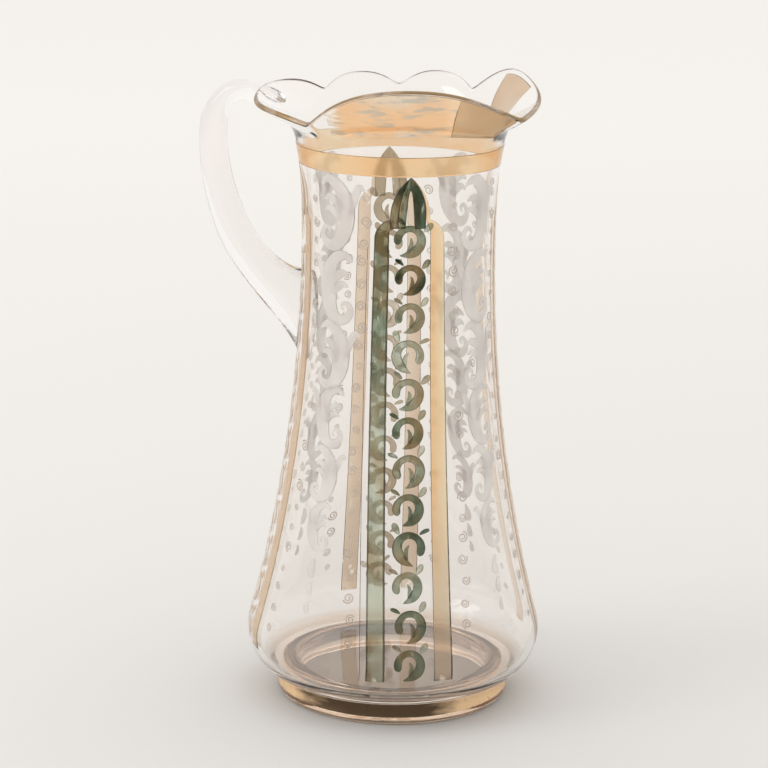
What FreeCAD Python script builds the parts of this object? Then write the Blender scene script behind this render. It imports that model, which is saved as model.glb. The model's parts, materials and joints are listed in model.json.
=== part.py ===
# Clear blown glass jug: a flared vessel with a crimped rim and pouring lip, a drawn glass handle,
# an applied foot ring, and fired gilding and green enamel in four arched panels.
# Millimetres, +Z up. The origin is the centre of the foot's rest plane, the pouring lip points
# towards +X and the handle towards -X.
import FreeCAD
import Part
import Sketcher
import math
import os

DOC = FreeCAD.newDocument("glass_jug")

# Driving sizes: name, value (millimetres, degrees or a count), what it sets
SIZES = [
    ("foot_height", 10.5, "rest plane to the underside of the vessel"),
    ("foot_seat_radius", 50.6, "outer radius of the foot where it meets the vessel"),
    ("foot_spread", 2.0, "how far the foot's bead stands out from its seat"),
    ("foot_bead", 2.2, "radius of the rounded bead at the bottom of the foot"),
    ("foot_width", 7.5, "thickness of the foot ring at its seat"),
    ("belly_radius", 66.2, "widest radius of the vessel"),
    ("belly_rise", 19.5, "underside of the vessel to its widest level"),
    ("belly_tuck", 3.0, "how much the radius of the rounded belly exceeds its rise"),
    ("flare_height", 180.0, "widest level to the top of the flare"),
    ("neck_radius", 42.8, "radius of the straight neck"),
    ("neck_length", 12.0, "length of the straight neck"),
    ("collar_height", 31.0, "height of the collar that opens above the neck"),
    ("collar_curve", 158.0, "radius of the collar's outward curve"),
    ("wall", 2.6, "thickness of the blown wall"),
    ("floor_thickness", 4.5, "thickness of the vessel's floor"),
    ("floor_fillet", 9.0, "radius inside between floor and wall"),
    ("rim_height", 17.0, "top of the collar to the middle level of the crimped edge"),
    ("rim_wall", 2.4, "thickness of the fire-polished edge"),
    ("handle_thickness", 12.6, "thickness of the drawn handle at its bow"),
    ("handle_width", 13.0, "width of the drawn handle across its plane"),
    ("handle_reach", 43.5, "neck radius to the middle of the handle's bow"),
    ("handle_crown", 18.5, "top of the collar up to the handle's highest middle point"),
    ("handle_seat_drop", 81.5, "top of the collar down to the lower seat"),
    ("film", 0.25, "relief of the fired gilding and enamel"),
    ("film_gap", 0.1, "clearance between a film and the glass under it"),
    ("band_drop", 1.0, "top of the collar down to the gilt band"),
    ("band_height", 8.6, "height of the gilt neck band"),
    ("foot_gilt_lift", 3.4, "rest plane to the lower edge of the foot's gilding"),
    ("panel_turn", -68.5, "direction of the first panel, from the pouring lip"),
    ("arch_half", 8.6, "half width of the pointed arch at its cusps"),
    ("arch_rise", 18.4, "cusps to the tip of the pointed arch"),
    ("arch_lancet", 2.6, "half width of the opening inside the arch"),
    ("arch_lancet_rise", 14.0, "cusps to the top of that opening"),
    ("arch_hem", 4.0, "cusps down to the lower hem of the arch"),
    ("arch_edge", 1.8, "width of the gilt edge at the right cusp"),
    ("arch_curve", 23.0, "radius of the arch's outer sides"),
    ("arch_edge_curve", 26.0, "radius between the arch's enamel and its gilt edge"),
    ("arch_lancet_curve", 30.0, "radius of the sides of the opening inside the arch"),
    ("shoulder_half", 15.0, "half width of a panel at its shoulders"),
    ("shoulder_drop", 9.0, "cusps down to the foot of the shoulder curve"),
    ("shoulder_curve", 9.0, "radius of the shoulder between cusp and strap"),
    ("strap_width", 6.2, "width of a panel's strap under the shoulder"),
    ("strap_foot_half", 19.0, "half width of a panel at the strap ends"),
    ("strap_foot_width", 8.0, "width of a strap at its end"),
    ("strap_foot_drop", 5.0, "widest level down to the strap ends"),
    ("scroll_radius", 6.2, "radius of a green comma scroll"),
    ("leaf_radius", 9.4, "radius of the largest white comma leaf"),
    ("leaf_gap", 0.8, "space between one white leaf and the next"),
]
PANELS = ["front", "right", "back", "left"]
GAPS = ["front_right", "back_right", "back_left", "front_left"]

# Comma scrolls and leaves: how many stand in a column, how much each is smaller than the one above
# it, where its bite lies and how wide that is, both as shares of its radius
SCROLL_COUNT = 12
LEAF_COUNT = 9
LEAF_SHRINK = 0.95
BITE_SHIFT = 0.44
BITE_SIZE = 0.67
SCROLL_TURNS = (215.0, 240.0)
LEAF_TURNS = (165.0, 215.0)

# The crimped edge, lobe by lobe from one pinched valley to the next, as a hand draws it: direction
# from the pouring lip in degrees, reach beyond the neck radius, rise above the edge's middle level
LOBES = [
    [(-123, 9.2, -6.8), (-110, 9.5, 1.0), (-98, 9.8, 6.0), (-70, 10.3, 9.8), (-45, 12.2, 6.6),
     (-32, 14.2, 2.1), (-16, 16.5, -4.2)],
    [(-16, 16.5, -4.2), (-4, 17.0, -1.6), (16, 16.8, 3.4), (31, 15.7, 7.6), (44, 14.2, 10.0),
     (57, 11.2, 5.5), (66, 8.0, -1.2)],
    [(66, 8.0, -1.2), (72, 9.0, 2.8), (85, 10.2, 6.0), (98, 9.0, 3.8), (106, 7.2, -1.0)],
    [(106, 7.2, -1.0), (112, 8.6, 2.6), (124, 10.2, 5.2), (139, 9.0, 2.8), (147, 8.0, -1.6)],
    [(147, 8.0, -1.6), (155, 12.2, 2.4), (165, 17.2, 3.6), (181, 20.0, 2.2), (200, 19.6, -1.0),
     (222, 15.0, -3.4), (237, 9.2, -6.8)],
]
RIM_COLUMNS = 120
HALVINGS = 50

# The rim's upright section: how far its root and edge tangents reach, as shares of its length, how
# much its edge rolls outwards and how round that edge is, as a share of its thickness
ROOT_REACH = 0.34
EDGE_REACH = 0.36
EDGE_ROLL = 0.32
EDGE_ROUNDING = 0.55

# The handle's middle line, from under the rim to the lower seat: reach as a share of handle_reach,
# rise as a share of seat to crown, thickness and width as shares of their sizes, tilt in degrees. Below
# them: its direction, the place of its upper seat along the rim's wall, and thickness and width of
# both seats as such shares
HANDLE_STATIONS = [
    (0.481, 0.968, 0.80, 1.06, 80.0),
    (0.636, 1.000, 0.73, 1.00, 84.0),
    (0.806, 0.990, 0.73, 0.98, 62.0),
    (0.924, 0.934, 0.84, 0.97, 33.0),
    (0.991, 0.853, 0.99, 0.97, 16.0),
    (1.000, 0.740, 1.02, 0.98, 0.0),
    (0.954, 0.594, 1.10, 1.00, -17.0),
    (0.831, 0.422, 1.22, 1.03, -24.6),
    (0.664, 0.290, 1.33, 1.06, -36.0),
    (0.428, 0.173, 1.53, 1.12, -58.5),
    (0.200, 0.083, 2.20, 1.25, -82.0),
]
HANDLE_TURN = 180.0
UPPER_SEAT_ALONG = 0.80
UPPER_SEAT_SHARE = (0.86, 1.12)
LOWER_SEAT_SHARE = (3.25, 1.45)
SECTION_POINTS = 12
HANDLE_ROWS = 48

SHEET = DOC.addObject("Spreadsheet::Sheet", "sizes")
for row, (alias, value, note) in enumerate(SIZES, start=1):
    SHEET.set("A%d" % row, alias)
    SHEET.set("B%d" % row, str(value))
    SHEET.set("C%d" % row, note)
    SHEET.setAlias("B%d" % row, alias)
DOC.recompute()


def amount(words):
    """The value of a sum of sizes written as words, such as 'wall + film'."""
    total, sign = 0.0, 1.0
    for word in words.split():
        if word in "+-":
            sign = 1.0 if word == "+" else -1.0
        else:
            total += sign * float(SHEET.get(word))
    return total


def formula(words):
    """The same sum as an expression on the sheet's cells."""
    return " ".join(word if word in "+-" else "sizes." + word for word in words.split())


BELLY_CURVE = "belly_rise + belly_tuck"
BELLY_CENTRE = "belly_radius - belly_rise - belly_tuck"

# Levels, each stacked on the one below it
BELLY_LEVEL = "foot_height + belly_rise"
WAIST_LEVEL = BELLY_LEVEL + " + flare_height"
COLLAR_LEVEL = WAIST_LEVEL + " + neck_length"
COLLAR_TOP = COLLAR_LEVEL + " + collar_height"
BAND_TOP = COLLAR_TOP + " - band_drop"
BAND_BOTTOM = BAND_TOP + " - band_height"
CUSP_LEVEL = BAND_BOTTOM + " - arch_rise"
HEM_LEVEL = CUSP_LEVEL + " - arch_hem"
SHOULDER_LEVEL = CUSP_LEVEL + " - shoulder_drop"
STRAP_END = BELLY_LEVEL + " - strap_foot_drop"


def origin_plane(body, role):
    """One of a body's own origin planes, by its role."""
    return next(item for item in body.Origin.OriginFeatures if item.Role == role)


def new_sketch(body, name, role):
    """A sketch on one of the body's origin planes."""
    sketch = body.newObject("Sketcher::SketchObject", name)
    sketch.AttachmentSupport = [(origin_plane(body, role), "")]
    sketch.MapMode = "FlatFace"
    return sketch


def bind(sketch, kind, *where, to):
    """Add a sized constraint and tie it to the sheet."""
    index = sketch.addConstraint(Sketcher.Constraint(kind, *where, amount(to)))
    sketch.setExpression("Constraints[%d]" % index, formula(to))


def pin(sketch, geometry, end, across, up):
    """Place one end of a sketch line by its two distances from the origin."""
    if across:
        bind(sketch, "DistanceX", geometry, end, to=across)
    else:
        sketch.addConstraint(Sketcher.Constraint("PointOnObject", geometry, end, -2))
    bind(sketch, "DistanceY", geometry, end, to=up)


def point(across, up):
    """A point of a sketch plane."""
    return FreeCAD.Vector(across, up, 0.0)


def revolve(body, sketch, name, kind="PartDesign::Revolution"):
    """Turn a sketch once round the upright axis."""
    feature = body.newObject(kind, name)
    feature.Profile = sketch
    feature.ReferenceAxis = (sketch, ["V_Axis"])
    feature.Angle = 360.0
    DOC.recompute()
    return feature


def arc_about(centre, radius, first, second):
    """Sketch arc about a centre, anticlockwise from one point to another."""
    start = math.atan2(first.y - centre.y, first.x - centre.x)
    stop = math.atan2(second.y - centre.y, second.x - centre.x)
    circle = Part.Circle(centre, FreeCAD.Vector(0, 0, 1), radius)
    return Part.ArcOfCircle(circle, start, stop if stop > start else stop + 2 * math.pi)


def flare_radius(inset=0.0):
    """Radius of the flare that is tangent to the neck and to the belly."""
    belly_r = amount(BELLY_CURVE) - inset
    across = amount("neck_radius") - inset - amount(BELLY_CENTRE)
    rise = amount("flare_height")
    return (across ** 2 + rise ** 2 - belly_r ** 2) / (2 * amount("belly_radius - neck_radius"))


def vessel_outline(sketch, inwards, outwards, floor_words):
    """Half outline of the vessel: floor, belly arc, flare arc, neck line and collar arc. Inwards
    and outwards are the words that an inset adds to a radius that shrinks or grows with it. The
    flare is tangent to the belly and to the neck, so it finds its own radius."""
    inset = amount(outwards)
    belly = point(amount(BELLY_CENTRE), amount(BELLY_LEVEL))
    belly_r = amount(BELLY_CURVE) - inset
    flare_r = flare_radius(inset)
    neck = amount("neck_radius") - inset
    flare = point(neck + flare_r, amount(WAIST_LEVEL))
    collar_r = amount("collar_curve") + inset
    collar = point(neck + collar_r, amount(COLLAR_LEVEL))
    floor = amount(floor_words)
    top = amount(COLLAR_TOP)
    toe = point(belly.x + math.sqrt(belly_r ** 2 - (belly.y - floor) ** 2), floor)
    towards = (flare - belly).normalize()
    meet = belly + towards * belly_r
    waist = point(neck, flare.y)
    collar_foot = point(neck, collar.y)
    lip = point(collar.x - math.sqrt(collar_r ** 2 - (top - collar.y) ** 2), top)
    floor_line, belly_arc, flare_arc, neck_line, collar_arc, top_line, axis_line = range(7)
    sketch.addGeometry([
        Part.LineSegment(point(0, floor), toe),
        arc_about(belly, belly_r, toe, meet),
        arc_about(flare, flare_r, waist, meet),
        Part.LineSegment(waist, collar_foot),
        arc_about(collar, collar_r, lip, collar_foot),
        Part.LineSegment(lip, point(0, top)),
        Part.LineSegment(point(0, top), point(0, floor)),
    ], False)
    rule = Sketcher.Constraint
    sketch.addConstraint([
        rule("Coincident", floor_line, 2, belly_arc, 1),
        rule("Tangent", belly_arc, 2, flare_arc, 2),
        rule("Tangent", flare_arc, 1, neck_line, 1),
        rule("Tangent", neck_line, 2, collar_arc, 2),
        rule("Coincident", collar_arc, 1, top_line, 1),
        rule("Coincident", top_line, 2, axis_line, 1),
        rule("Coincident", axis_line, 2, floor_line, 1),
        rule("Horizontal", floor_line),
        rule("Horizontal", top_line),
        rule("Vertical", neck_line),
        rule("PointOnObject", axis_line, 1, -2),
        rule("PointOnObject", axis_line, 2, -2),
    ])
    bind(sketch, "DistanceY", floor_line, 1, to=floor_words)
    bind(sketch, "DistanceX", belly_arc, 3, to=BELLY_CENTRE)
    bind(sketch, "DistanceY", belly_arc, 3, to=BELLY_LEVEL)
    bind(sketch, "Radius", belly_arc, to=BELLY_CURVE + inwards)
    bind(sketch, "DistanceX", neck_line, 1, to="neck_radius" + inwards)
    bind(sketch, "DistanceY", neck_line, 1, to=WAIST_LEVEL)
    bind(sketch, "DistanceY", neck_line, 2, to=COLLAR_LEVEL)
    bind(sketch, "Radius", collar_arc, to="collar_curve" + outwards)
    bind(sketch, "DistanceY", top_line, 1, to=COLLAR_TOP)


def vessel_solid(name, inwards="", outwards=""):
    """Solid turned form of the vessel, up to the top of the collar."""
    body = DOC.addObject("PartDesign::Body", name)
    sketch = new_sketch(body, name + "_outline", "XZ_Plane")
    vessel_outline(sketch, inwards, outwards, "foot_height")
    revolve(body, sketch, name + "_turned")
    return body


def hollow_vessel():
    """The blown vessel below its crimped rim: outer form, hollow and rounded floor corner."""
    body = vessel_solid("vessel")
    solid_volume = body.Shape.Volume
    sketch = new_sketch(body, "vessel_hollow_outline", "XZ_Plane")
    vessel_outline(sketch, " - wall", " + wall", "foot_height + floor_thickness")
    hollow = revolve(body, sketch, "vessel_hollow", "PartDesign::Groove")
    if body.Shape.Volume > 0.5 * solid_volume:
        raise RuntimeError("the hollow did not cut the vessel")
    floor = amount("foot_height + floor_thickness")
    corner = next(
        "Edge%d" % number for number, edge in enumerate(hollow.Shape.Edges, start=1)
        if len(edge.Vertexes) == 1 and abs(edge.Vertexes[0].Z - floor) < 1e-6
    )
    fillet = body.newObject("PartDesign::Fillet", "floor_corner")
    fillet.Base = (hollow, [corner])
    fillet.setExpression("Radius", formula("floor_fillet"))
    DOC.recompute()
    return body


def collar_point(inset):
    """Radius of the collar's top edge and the outward slope there."""
    curve = amount("collar_curve") + inset
    rise = amount("collar_height")
    level = math.sqrt(curve ** 2 - rise ** 2)
    return amount("neck_radius") - inset + curve - level, math.atan2(rise, level)


def rim_point(turn, reach, rise):
    """A point of the crimped edge from its direction, reach and rise."""
    radius = amount("neck_radius") + reach
    angle = math.radians(turn)
    level = amount(COLLAR_TOP + " + rim_height") + rise
    return FreeCAD.Vector(radius * math.cos(angle), radius * math.sin(angle), level)


def rim_lobes():
    """Each lobe of the crimped edge as a smooth curve, with its first and last direction."""
    curves = []
    for lobe in LOBES:
        curve = Part.BSplineCurve()
        curve.interpolate(Points=[rim_point(*crimp) for crimp in lobe])
        curves.append((lobe[0][0], lobe[-1][0], curve))
    return curves


def edge_at(lobes, turn):
    """The crimped edge's point in one direction, found by halving its lobe's parameter range."""
    start = lobes[0][0]
    turn = start + (turn - start) % 360.0
    first, _, curve = next(lobe for lobe in lobes if lobe[0] <= turn <= lobe[1])
    low, high = curve.FirstParameter, curve.LastParameter
    for _ in range(HALVINGS):
        middle = (low + high) / 2
        spot = curve.value(middle)
        gone = (math.degrees(math.atan2(spot.y, spot.x)) - first + 180.0) % 360.0 - 180.0
        low, high = (middle, high) if gone < turn - first else (low, middle)
    return curve.value(low)


def rim_middle(spot):
    """Middle line of the rim's wall under one point of the crimped edge, as four control points
    (radius, level): along the collar at its root and rolled outwards at its edge."""
    outer_radius, outer_slope = collar_point(0.0)
    inner_radius, inner_slope = collar_point(amount("wall"))
    root = point((outer_radius + inner_radius) / 2, amount(COLLAR_TOP))
    edge = point(math.hypot(spot.x, spot.y), spot.z)
    length = (edge - root).Length
    slope = (outer_slope + inner_slope) / 2
    start = point(math.sin(slope), math.cos(slope))
    finish = ((edge - root).normalize() + point(EDGE_ROLL, 0.0)).normalize()
    return [root, root + start * ROOT_REACH * length, edge - finish * EDGE_REACH * length, edge]


def rim_section(spot):
    """Control points (radius, level) of the rim's wall in one upright plane: up the outside from
    the collar, over the rounded edge and down the inside."""
    root, low, high, edge = rim_middle(spot)
    along = [(low - root).normalize(), (edge - low).normalize(), (edge - high).normalize()]
    half = [amount("wall") / 2, amount("wall + rim_wall") / 4, amount("rim_wall") / 2]
    outside, inside = [], []
    for centre, way, thick in zip((low, high, edge), along, half):
        side = point(way.y, -way.x) * thick
        outside.append(centre + side)
        inside.append(centre - side)
    lip = along[-1] * amount("rim_wall") * EDGE_ROUNDING
    top = amount(COLLAR_TOP)
    return (
        [point(collar_point(0.0)[0], top)] + outside
        + [outside[-1] + lip, inside[-1] + lip]
        + inside[::-1] + [point(collar_point(amount("wall"))[0], top)]
    )


def spline_gain(count):
    """How much an even closed cubic spline runs inside the circle of its control points."""
    return 6.0 / (4.0 + 2.0 * math.cos(2 * math.pi / count))


def closed_skin(columns):
    """A smooth surface over a net of control points: closed across the columns, and ending on the
    first and last point along each column."""
    degree = 3
    round_knots = [float(number) for number in range(len(columns) + 1)]
    along_knots = [float(number) for number in range(len(columns[0]) - degree + 1)]
    along_counts = [degree + 1] + [1] * (len(along_knots) - 2) + [degree + 1]
    surface = Part.BSplineSurface()
    surface.buildFromPolesMultsKnots(
        columns, [1] * len(round_knots), along_counts, round_knots, along_knots, True, False, degree, degree
    )
    return surface.toShape()


def rim_skin():
    """The crimped rim as one closed surface: upright sections carried round the edge curve. The
    two end rows are true circles, so they meet the collar."""
    lobes = rim_lobes()
    end_gain = spline_gain(RIM_COLUMNS)
    columns = []
    for number in range(RIM_COLUMNS):
        angle = 2 * math.pi * number / RIM_COLUMNS
        section = rim_section(edge_at(lobes, math.degrees(angle)))
        gains = [end_gain] + [1.0] * (len(section) - 2) + [end_gain]
        columns.append([
            FreeCAD.Vector(place.x * gain * math.cos(angle), place.x * gain * math.sin(angle), place.y)
            for place, gain in zip(section, gains)
        ])
    return closed_skin(columns)


def glass_body(vessel):
    """The blown vessel and its crimped rim, one piece of glass."""
    top = amount(COLLAR_TOP)
    walls = [face for face in vessel.Shape.Faces if face.BoundBox.ZMin < top - 1e-6]
    joined = Part.makeCompound(walls + [rim_skin()])
    joined.sewShape(1e-4)
    if len(joined.Shells) != 1 or not joined.Shells[0].isClosed():
        raise RuntimeError("the crimped rim does not close on the collar")
    node = DOC.addObject("Part::Feature", "glass_body")
    node.Shape = Part.makeSolid(joined.Shells[0])
    return node


def foot_solid(name, grown=""):
    """The foot ring, turned: flat rest face, rounded bead, hollowed side, seat and bore. Grown is
    the words that a coat adds to its outer side. The hollow is tangent to the bead and upright at
    the seat, so it finds its own radius."""
    body = DOC.addObject("PartDesign::Body", name)
    sketch = new_sketch(body, name + "_outline", "XZ_Plane")
    bead_r = amount("foot_bead" + grown)
    bead_across = "foot_seat_radius + foot_spread - foot_bead"
    bead = point(amount(bead_across), amount("foot_bead"))
    seat = point(amount("foot_seat_radius" + grown), amount("foot_height"))
    across, rise = seat.x - bead.x, seat.y - bead.y
    hollow_r = (across ** 2 + rise ** 2 - bead_r ** 2) / (2 * (bead_r - across))
    hollow = point(seat.x + hollow_r, seat.y)
    meet = bead + (hollow - bead).normalize() * bead_r
    bore = amount("foot_seat_radius - foot_width")
    rest = bead.y - bead_r
    rest_line, bead_arc, hollow_arc, seat_line, bore_line = range(5)
    sketch.addGeometry([
        Part.LineSegment(point(bore, rest), point(bead.x, rest)),
        arc_about(bead, bead_r, point(bead.x, rest), meet),
        arc_about(hollow, hollow_r, seat, meet),
        Part.LineSegment(seat, point(bore, seat.y)),
        Part.LineSegment(point(bore, seat.y), point(bore, rest)),
    ], False)
    rule = Sketcher.Constraint
    sketch.addConstraint([
        rule("Tangent", rest_line, 2, bead_arc, 1),
        rule("Tangent", bead_arc, 2, hollow_arc, 2),
        rule("Coincident", hollow_arc, 1, seat_line, 1),
        rule("Coincident", seat_line, 2, bore_line, 1),
        rule("Coincident", bore_line, 2, rest_line, 1),
        rule("Horizontal", rest_line),
        rule("Horizontal", seat_line),
        rule("Vertical", bore_line),
        rule("Horizontal", hollow_arc, 1, hollow_arc, 3),
    ])
    bind(sketch, "Radius", bead_arc, to="foot_bead" + grown)
    bind(sketch, "DistanceX", bead_arc, 3, to=bead_across)
    bind(sketch, "DistanceY", bead_arc, 3, to="foot_bead")
    bind(sketch, "DistanceX", seat_line, 1, to="foot_seat_radius" + grown)
    bind(sketch, "DistanceY", seat_line, 1, to="foot_height")
    bind(sketch, "DistanceX", bore_line, 1, to="foot_seat_radius - foot_width")
    revolve(body, sketch, name + "_turned")
    return body


def slab(name, bottom, height):
    """A wide flat cylinder that keeps one band of levels."""
    disc = DOC.addObject("Part::Cylinder", name)
    disc.setExpression("Radius", formula("belly_radius + belly_radius"))
    disc.setExpression("Height", formula(height))
    disc.setExpression("Placement.Base.z", formula(bottom))
    return disc


def boolean(kind, name, base, tool):
    """A named Part boolean of two objects."""
    node = DOC.addObject(kind, name)
    node.Base = base
    node.Tool = tool
    DOC.recompute()
    return node


def vessel_radius(level):
    """Outer radius of the flare at one level."""
    radius = flare_radius()
    return amount("neck_radius") + radius - math.sqrt(radius ** 2 - (amount(WAIST_LEVEL) - level) ** 2)


def handle_stations():
    """Middle points of the drawn handle, and its thickness, width and tilt at each of them. The
    first lies in the rim's wall and the last in the vessel's wall."""
    thick, wide = amount("handle_thickness"), amount("handle_width")
    lower = amount(COLLAR_TOP + " - handle_seat_drop")
    rim = Part.BezierCurve()
    rim.setPoles(rim_middle(edge_at(rim_lobes(), HANDLE_TURN)))
    upper = rim.value(UPPER_SEAT_ALONG)
    (wall_way,) = rim.tangent(UPPER_SEAT_ALONG)
    shares = [UPPER_SEAT_SHARE] + [station[2:4] for station in HANDLE_STATIONS] + [LOWER_SEAT_SHARE]
    flare_lean = math.atan2(amount(WAIST_LEVEL) - lower, flare_radius())
    tilts = [math.degrees(math.atan2(wall_way.y, wall_way.x))]
    tilts += [station[4] for station in HANDLE_STATIONS] + [math.degrees(flare_lean) - 90.0]
    middles = [upper]
    for reach, rise, _, _, _ in HANDLE_STATIONS:
        middles.append(point(
            amount("neck_radius") + reach * amount("handle_reach"),
            lower + rise * amount("handle_seat_drop + handle_crown"),
        ))
    middles.append(point(vessel_radius(lower) - amount("wall") / 2, lower))
    sections = [
        FreeCAD.Vector(thick * share[0], wide * share[1], tilt) for share, tilt in zip(shares, tilts)
    ]
    return middles, sections


def handle_blank():
    """The drawn handle with both ends running into the glass they are pressed on: oval sections
    carried along a smooth line through the stations."""
    middles, sections = handle_stations()
    steps = [float(number) for number in range(len(middles))]
    line, shape = Part.BSplineCurve(), Part.BSplineCurve()
    line.interpolate(Points=middles, Parameters=steps)
    shape.interpolate(Points=sections, Parameters=steps)
    gain = spline_gain(SECTION_POINTS) / 2
    columns = []
    for number in range(SECTION_POINTS):
        turn = 2 * math.pi * number / SECTION_POINTS
        column = []
        for row in range(HANDLE_ROWS + 1):
            place = steps[-1] * row / HANDLE_ROWS
            middle = line.value(place)
            thick, wide, tilt = shape.value(place)
            out = gain * thick * math.cos(turn)
            way = math.radians(tilt)
            column.append(FreeCAD.Vector(
                -middle.x - out * math.cos(way), gain * wide * math.sin(turn), middle.y + out * math.sin(way)
            ))
        columns.append(column)
    side = closed_skin(columns)
    ends = [Part.Face(Part.Wire(edge)) for edge in side.Edges if edge.isClosed()]
    joined = Part.makeCompound([side] + ends)
    joined.sewShape(1e-4)
    solid = Part.makeSolid(joined.Shells[0])
    if solid.Volume < 0:
        solid.reverse()
    blank = DOC.addObject("Part::Feature", "handle_blank")
    blank.Shape = solid
    return blank


def add_outline(sketch, corners):
    """A closed sketch outline. Each corner gives its two distances as words and the radius of the
    arc that leads to the next corner: none for a straight edge, a minus for an arc that turns
    right."""
    spots = [point(amount(across), amount(up)) for across, up, _ in corners]
    count = len(corners)
    for number, (_, _, curve) in enumerate(corners):
        start, stop = spots[number], spots[(number + 1) % count]
        radius = amount(curve)
        if not curve:
            sketch.addGeometry(Part.LineSegment(start, stop), False)
            continue
        chord = stop - start
        depth = math.sqrt(max(radius ** 2 - chord.Length ** 2 / 4, 0.0))
        left = point(-chord.y, chord.x).normalize()
        centre = (start + stop) * 0.5 + left * (depth if radius > 0 else -depth)
        ends = (start, stop) if radius > 0 else (stop, start)
        sketch.addGeometry(arc_about(centre, abs(radius), *ends), False)
    for number, (across, up, curve) in enumerate(corners):
        following = (number + 1) % count
        begins, leaves = (2, 1) if curve.startswith("-") else (1, 2)
        arrives = 2 if corners[following][2].startswith("-") else 1
        sketch.addConstraint(Sketcher.Constraint("Coincident", number, leaves, following, arrives))
        pin(sketch, number, begins, across, up)
        if curve:
            bind(sketch, "Radius", number, to=curve.lstrip("- "))


def arch_corners():
    """Pointed arch of a panel with the opening inside it, from its left cusp clockwise."""
    lancet = CUSP_LEVEL + " + arch_lancet_rise"
    return [
        ("- arch_half", CUSP_LEVEL, "- arch_curve"),
        ("", BAND_BOTTOM, "- arch_edge_curve"),
        ("arch_half - arch_edge", CUSP_LEVEL, ""),
        ("arch_half - arch_edge", HEM_LEVEL, ""),
        ("arch_lancet", HEM_LEVEL, "arch_lancet_curve"),
        ("", lancet, "arch_lancet_curve"),
        ("- arch_lancet", HEM_LEVEL, ""),
        ("- arch_half", HEM_LEVEL, ""),
    ]


def left_strap_corners():
    """Left strap of a panel with its shoulder, from the strap's outer end clockwise."""
    return [
        ("- strap_foot_half", STRAP_END, ""),
        ("- shoulder_half", SHOULDER_LEVEL, "- shoulder_curve"),
        ("- arch_half", CUSP_LEVEL, ""),
        ("- arch_half", HEM_LEVEL, ""),
        ("- shoulder_half + strap_width", SHOULDER_LEVEL + " + arch_hem", ""),
        ("- strap_foot_half + strap_foot_width", STRAP_END, ""),
    ]


def right_strap_corners():
    """Right strap of a panel and the gilt edge of its arch, from the arch's tip clockwise."""
    return [
        ("", BAND_BOTTOM, "- arch_curve"),
        ("arch_half", CUSP_LEVEL, "- shoulder_curve"),
        ("shoulder_half", SHOULDER_LEVEL, ""),
        ("strap_foot_half", STRAP_END, ""),
        ("strap_foot_half - strap_foot_width", STRAP_END, ""),
        ("shoulder_half - strap_width", SHOULDER_LEVEL + " + arch_hem", ""),
        ("arch_half - arch_edge", CUSP_LEVEL, "arch_edge_curve"),
    ]


def fired_film(name, corners, turn, skin):
    """A film fired on the vessel: a flat outline pushed out through the skin of the vessel."""
    body = DOC.addObject("PartDesign::Body", name + "_cutter")
    sketch = new_sketch(body, name + "_outline", "YZ_Plane")
    add_outline(sketch, corners)
    push = body.newObject("PartDesign::Pad", name + "_push")
    push.Profile = sketch
    push.setExpression("Length", formula("belly_radius + belly_radius"))
    body.Placement = FreeCAD.Placement(
        FreeCAD.Vector(0, 0, 0), FreeCAD.Rotation(FreeCAD.Vector(0, 0, 1), turn)
    )
    DOC.recompute()
    return boolean("Part::Common", name, body, skin)


def foot_gilding():
    """Gilding on the hollowed side of the foot ring, above its clear bead."""
    coat = foot_solid("foot_coat", " + film_gap + film")
    core = foot_solid("foot_core", " + film_gap")
    levels = slab("foot_gilt_slab", "foot_gilt_lift", "foot_height - film_gap - foot_gilt_lift")
    ring = boolean("Part::Common", "foot_gilt_ring", coat, levels)
    return boolean("Part::Cut", "foot_gilding", ring, core)


def comma(up, radius, turn):
    """A flat comma on a panel's middle line: a round spot with a smaller round bite towards one
    direction."""
    outward = FreeCAD.Vector(1, 0, 0)
    middle = FreeCAD.Vector(0.0, 0.0, up)
    way = math.radians(turn)
    bite = middle + FreeCAD.Vector(0.0, math.cos(way), math.sin(way)) * BITE_SHIFT * radius
    spot = Part.Face(Part.Wire(Part.makeCircle(radius, middle, outward)))
    return spot.cut(Part.Face(Part.Wire(Part.makeCircle(BITE_SIZE * radius, bite, outward))))


def scroll_column():
    """The green comma scrolls inside a panel, evenly spaced from under its arch to the belly."""
    radius = amount("scroll_radius")
    top = amount(SHOULDER_LEVEL)
    step = (top - amount(BELLY_LEVEL)) / (SCROLL_COUNT - 1)
    turns = [SCROLL_TURNS[number % 2] for number in range(SCROLL_COUNT)]
    return [comma(top - number * step, radius, turn) for number, turn in enumerate(turns)]


def leaf_column():
    """The white comma leaves between two panels, each smaller than the one above it."""
    leaves = []
    level = amount(BAND_BOTTOM + " - leaf_gap")
    for number in range(LEAF_COUNT):
        radius = amount("leaf_radius") * LEAF_SHRINK ** number
        leaves.append(comma(level - radius, radius, LEAF_TURNS[number % 2]))
        level -= 2 * radius + amount("leaf_gap")
    return leaves


def raised_enamel(name, leaves, turn, skin):
    """A column of raised enamel: flat commas pushed out through the skin of the vessel."""
    cutter = DOC.addObject("Part::Feature", name + "_cutter")
    outward = FreeCAD.Vector(2 * amount("belly_radius"), 0, 0)
    cutter.Shape = Part.makeCompound([leaf.extrude(outward) for leaf in leaves])
    cutter.Placement = FreeCAD.Placement(
        FreeCAD.Vector(0, 0, 0), FreeCAD.Rotation(FreeCAD.Vector(0, 0, 1), turn)
    )
    return boolean("Part::Common", name, cutter, skin)


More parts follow.
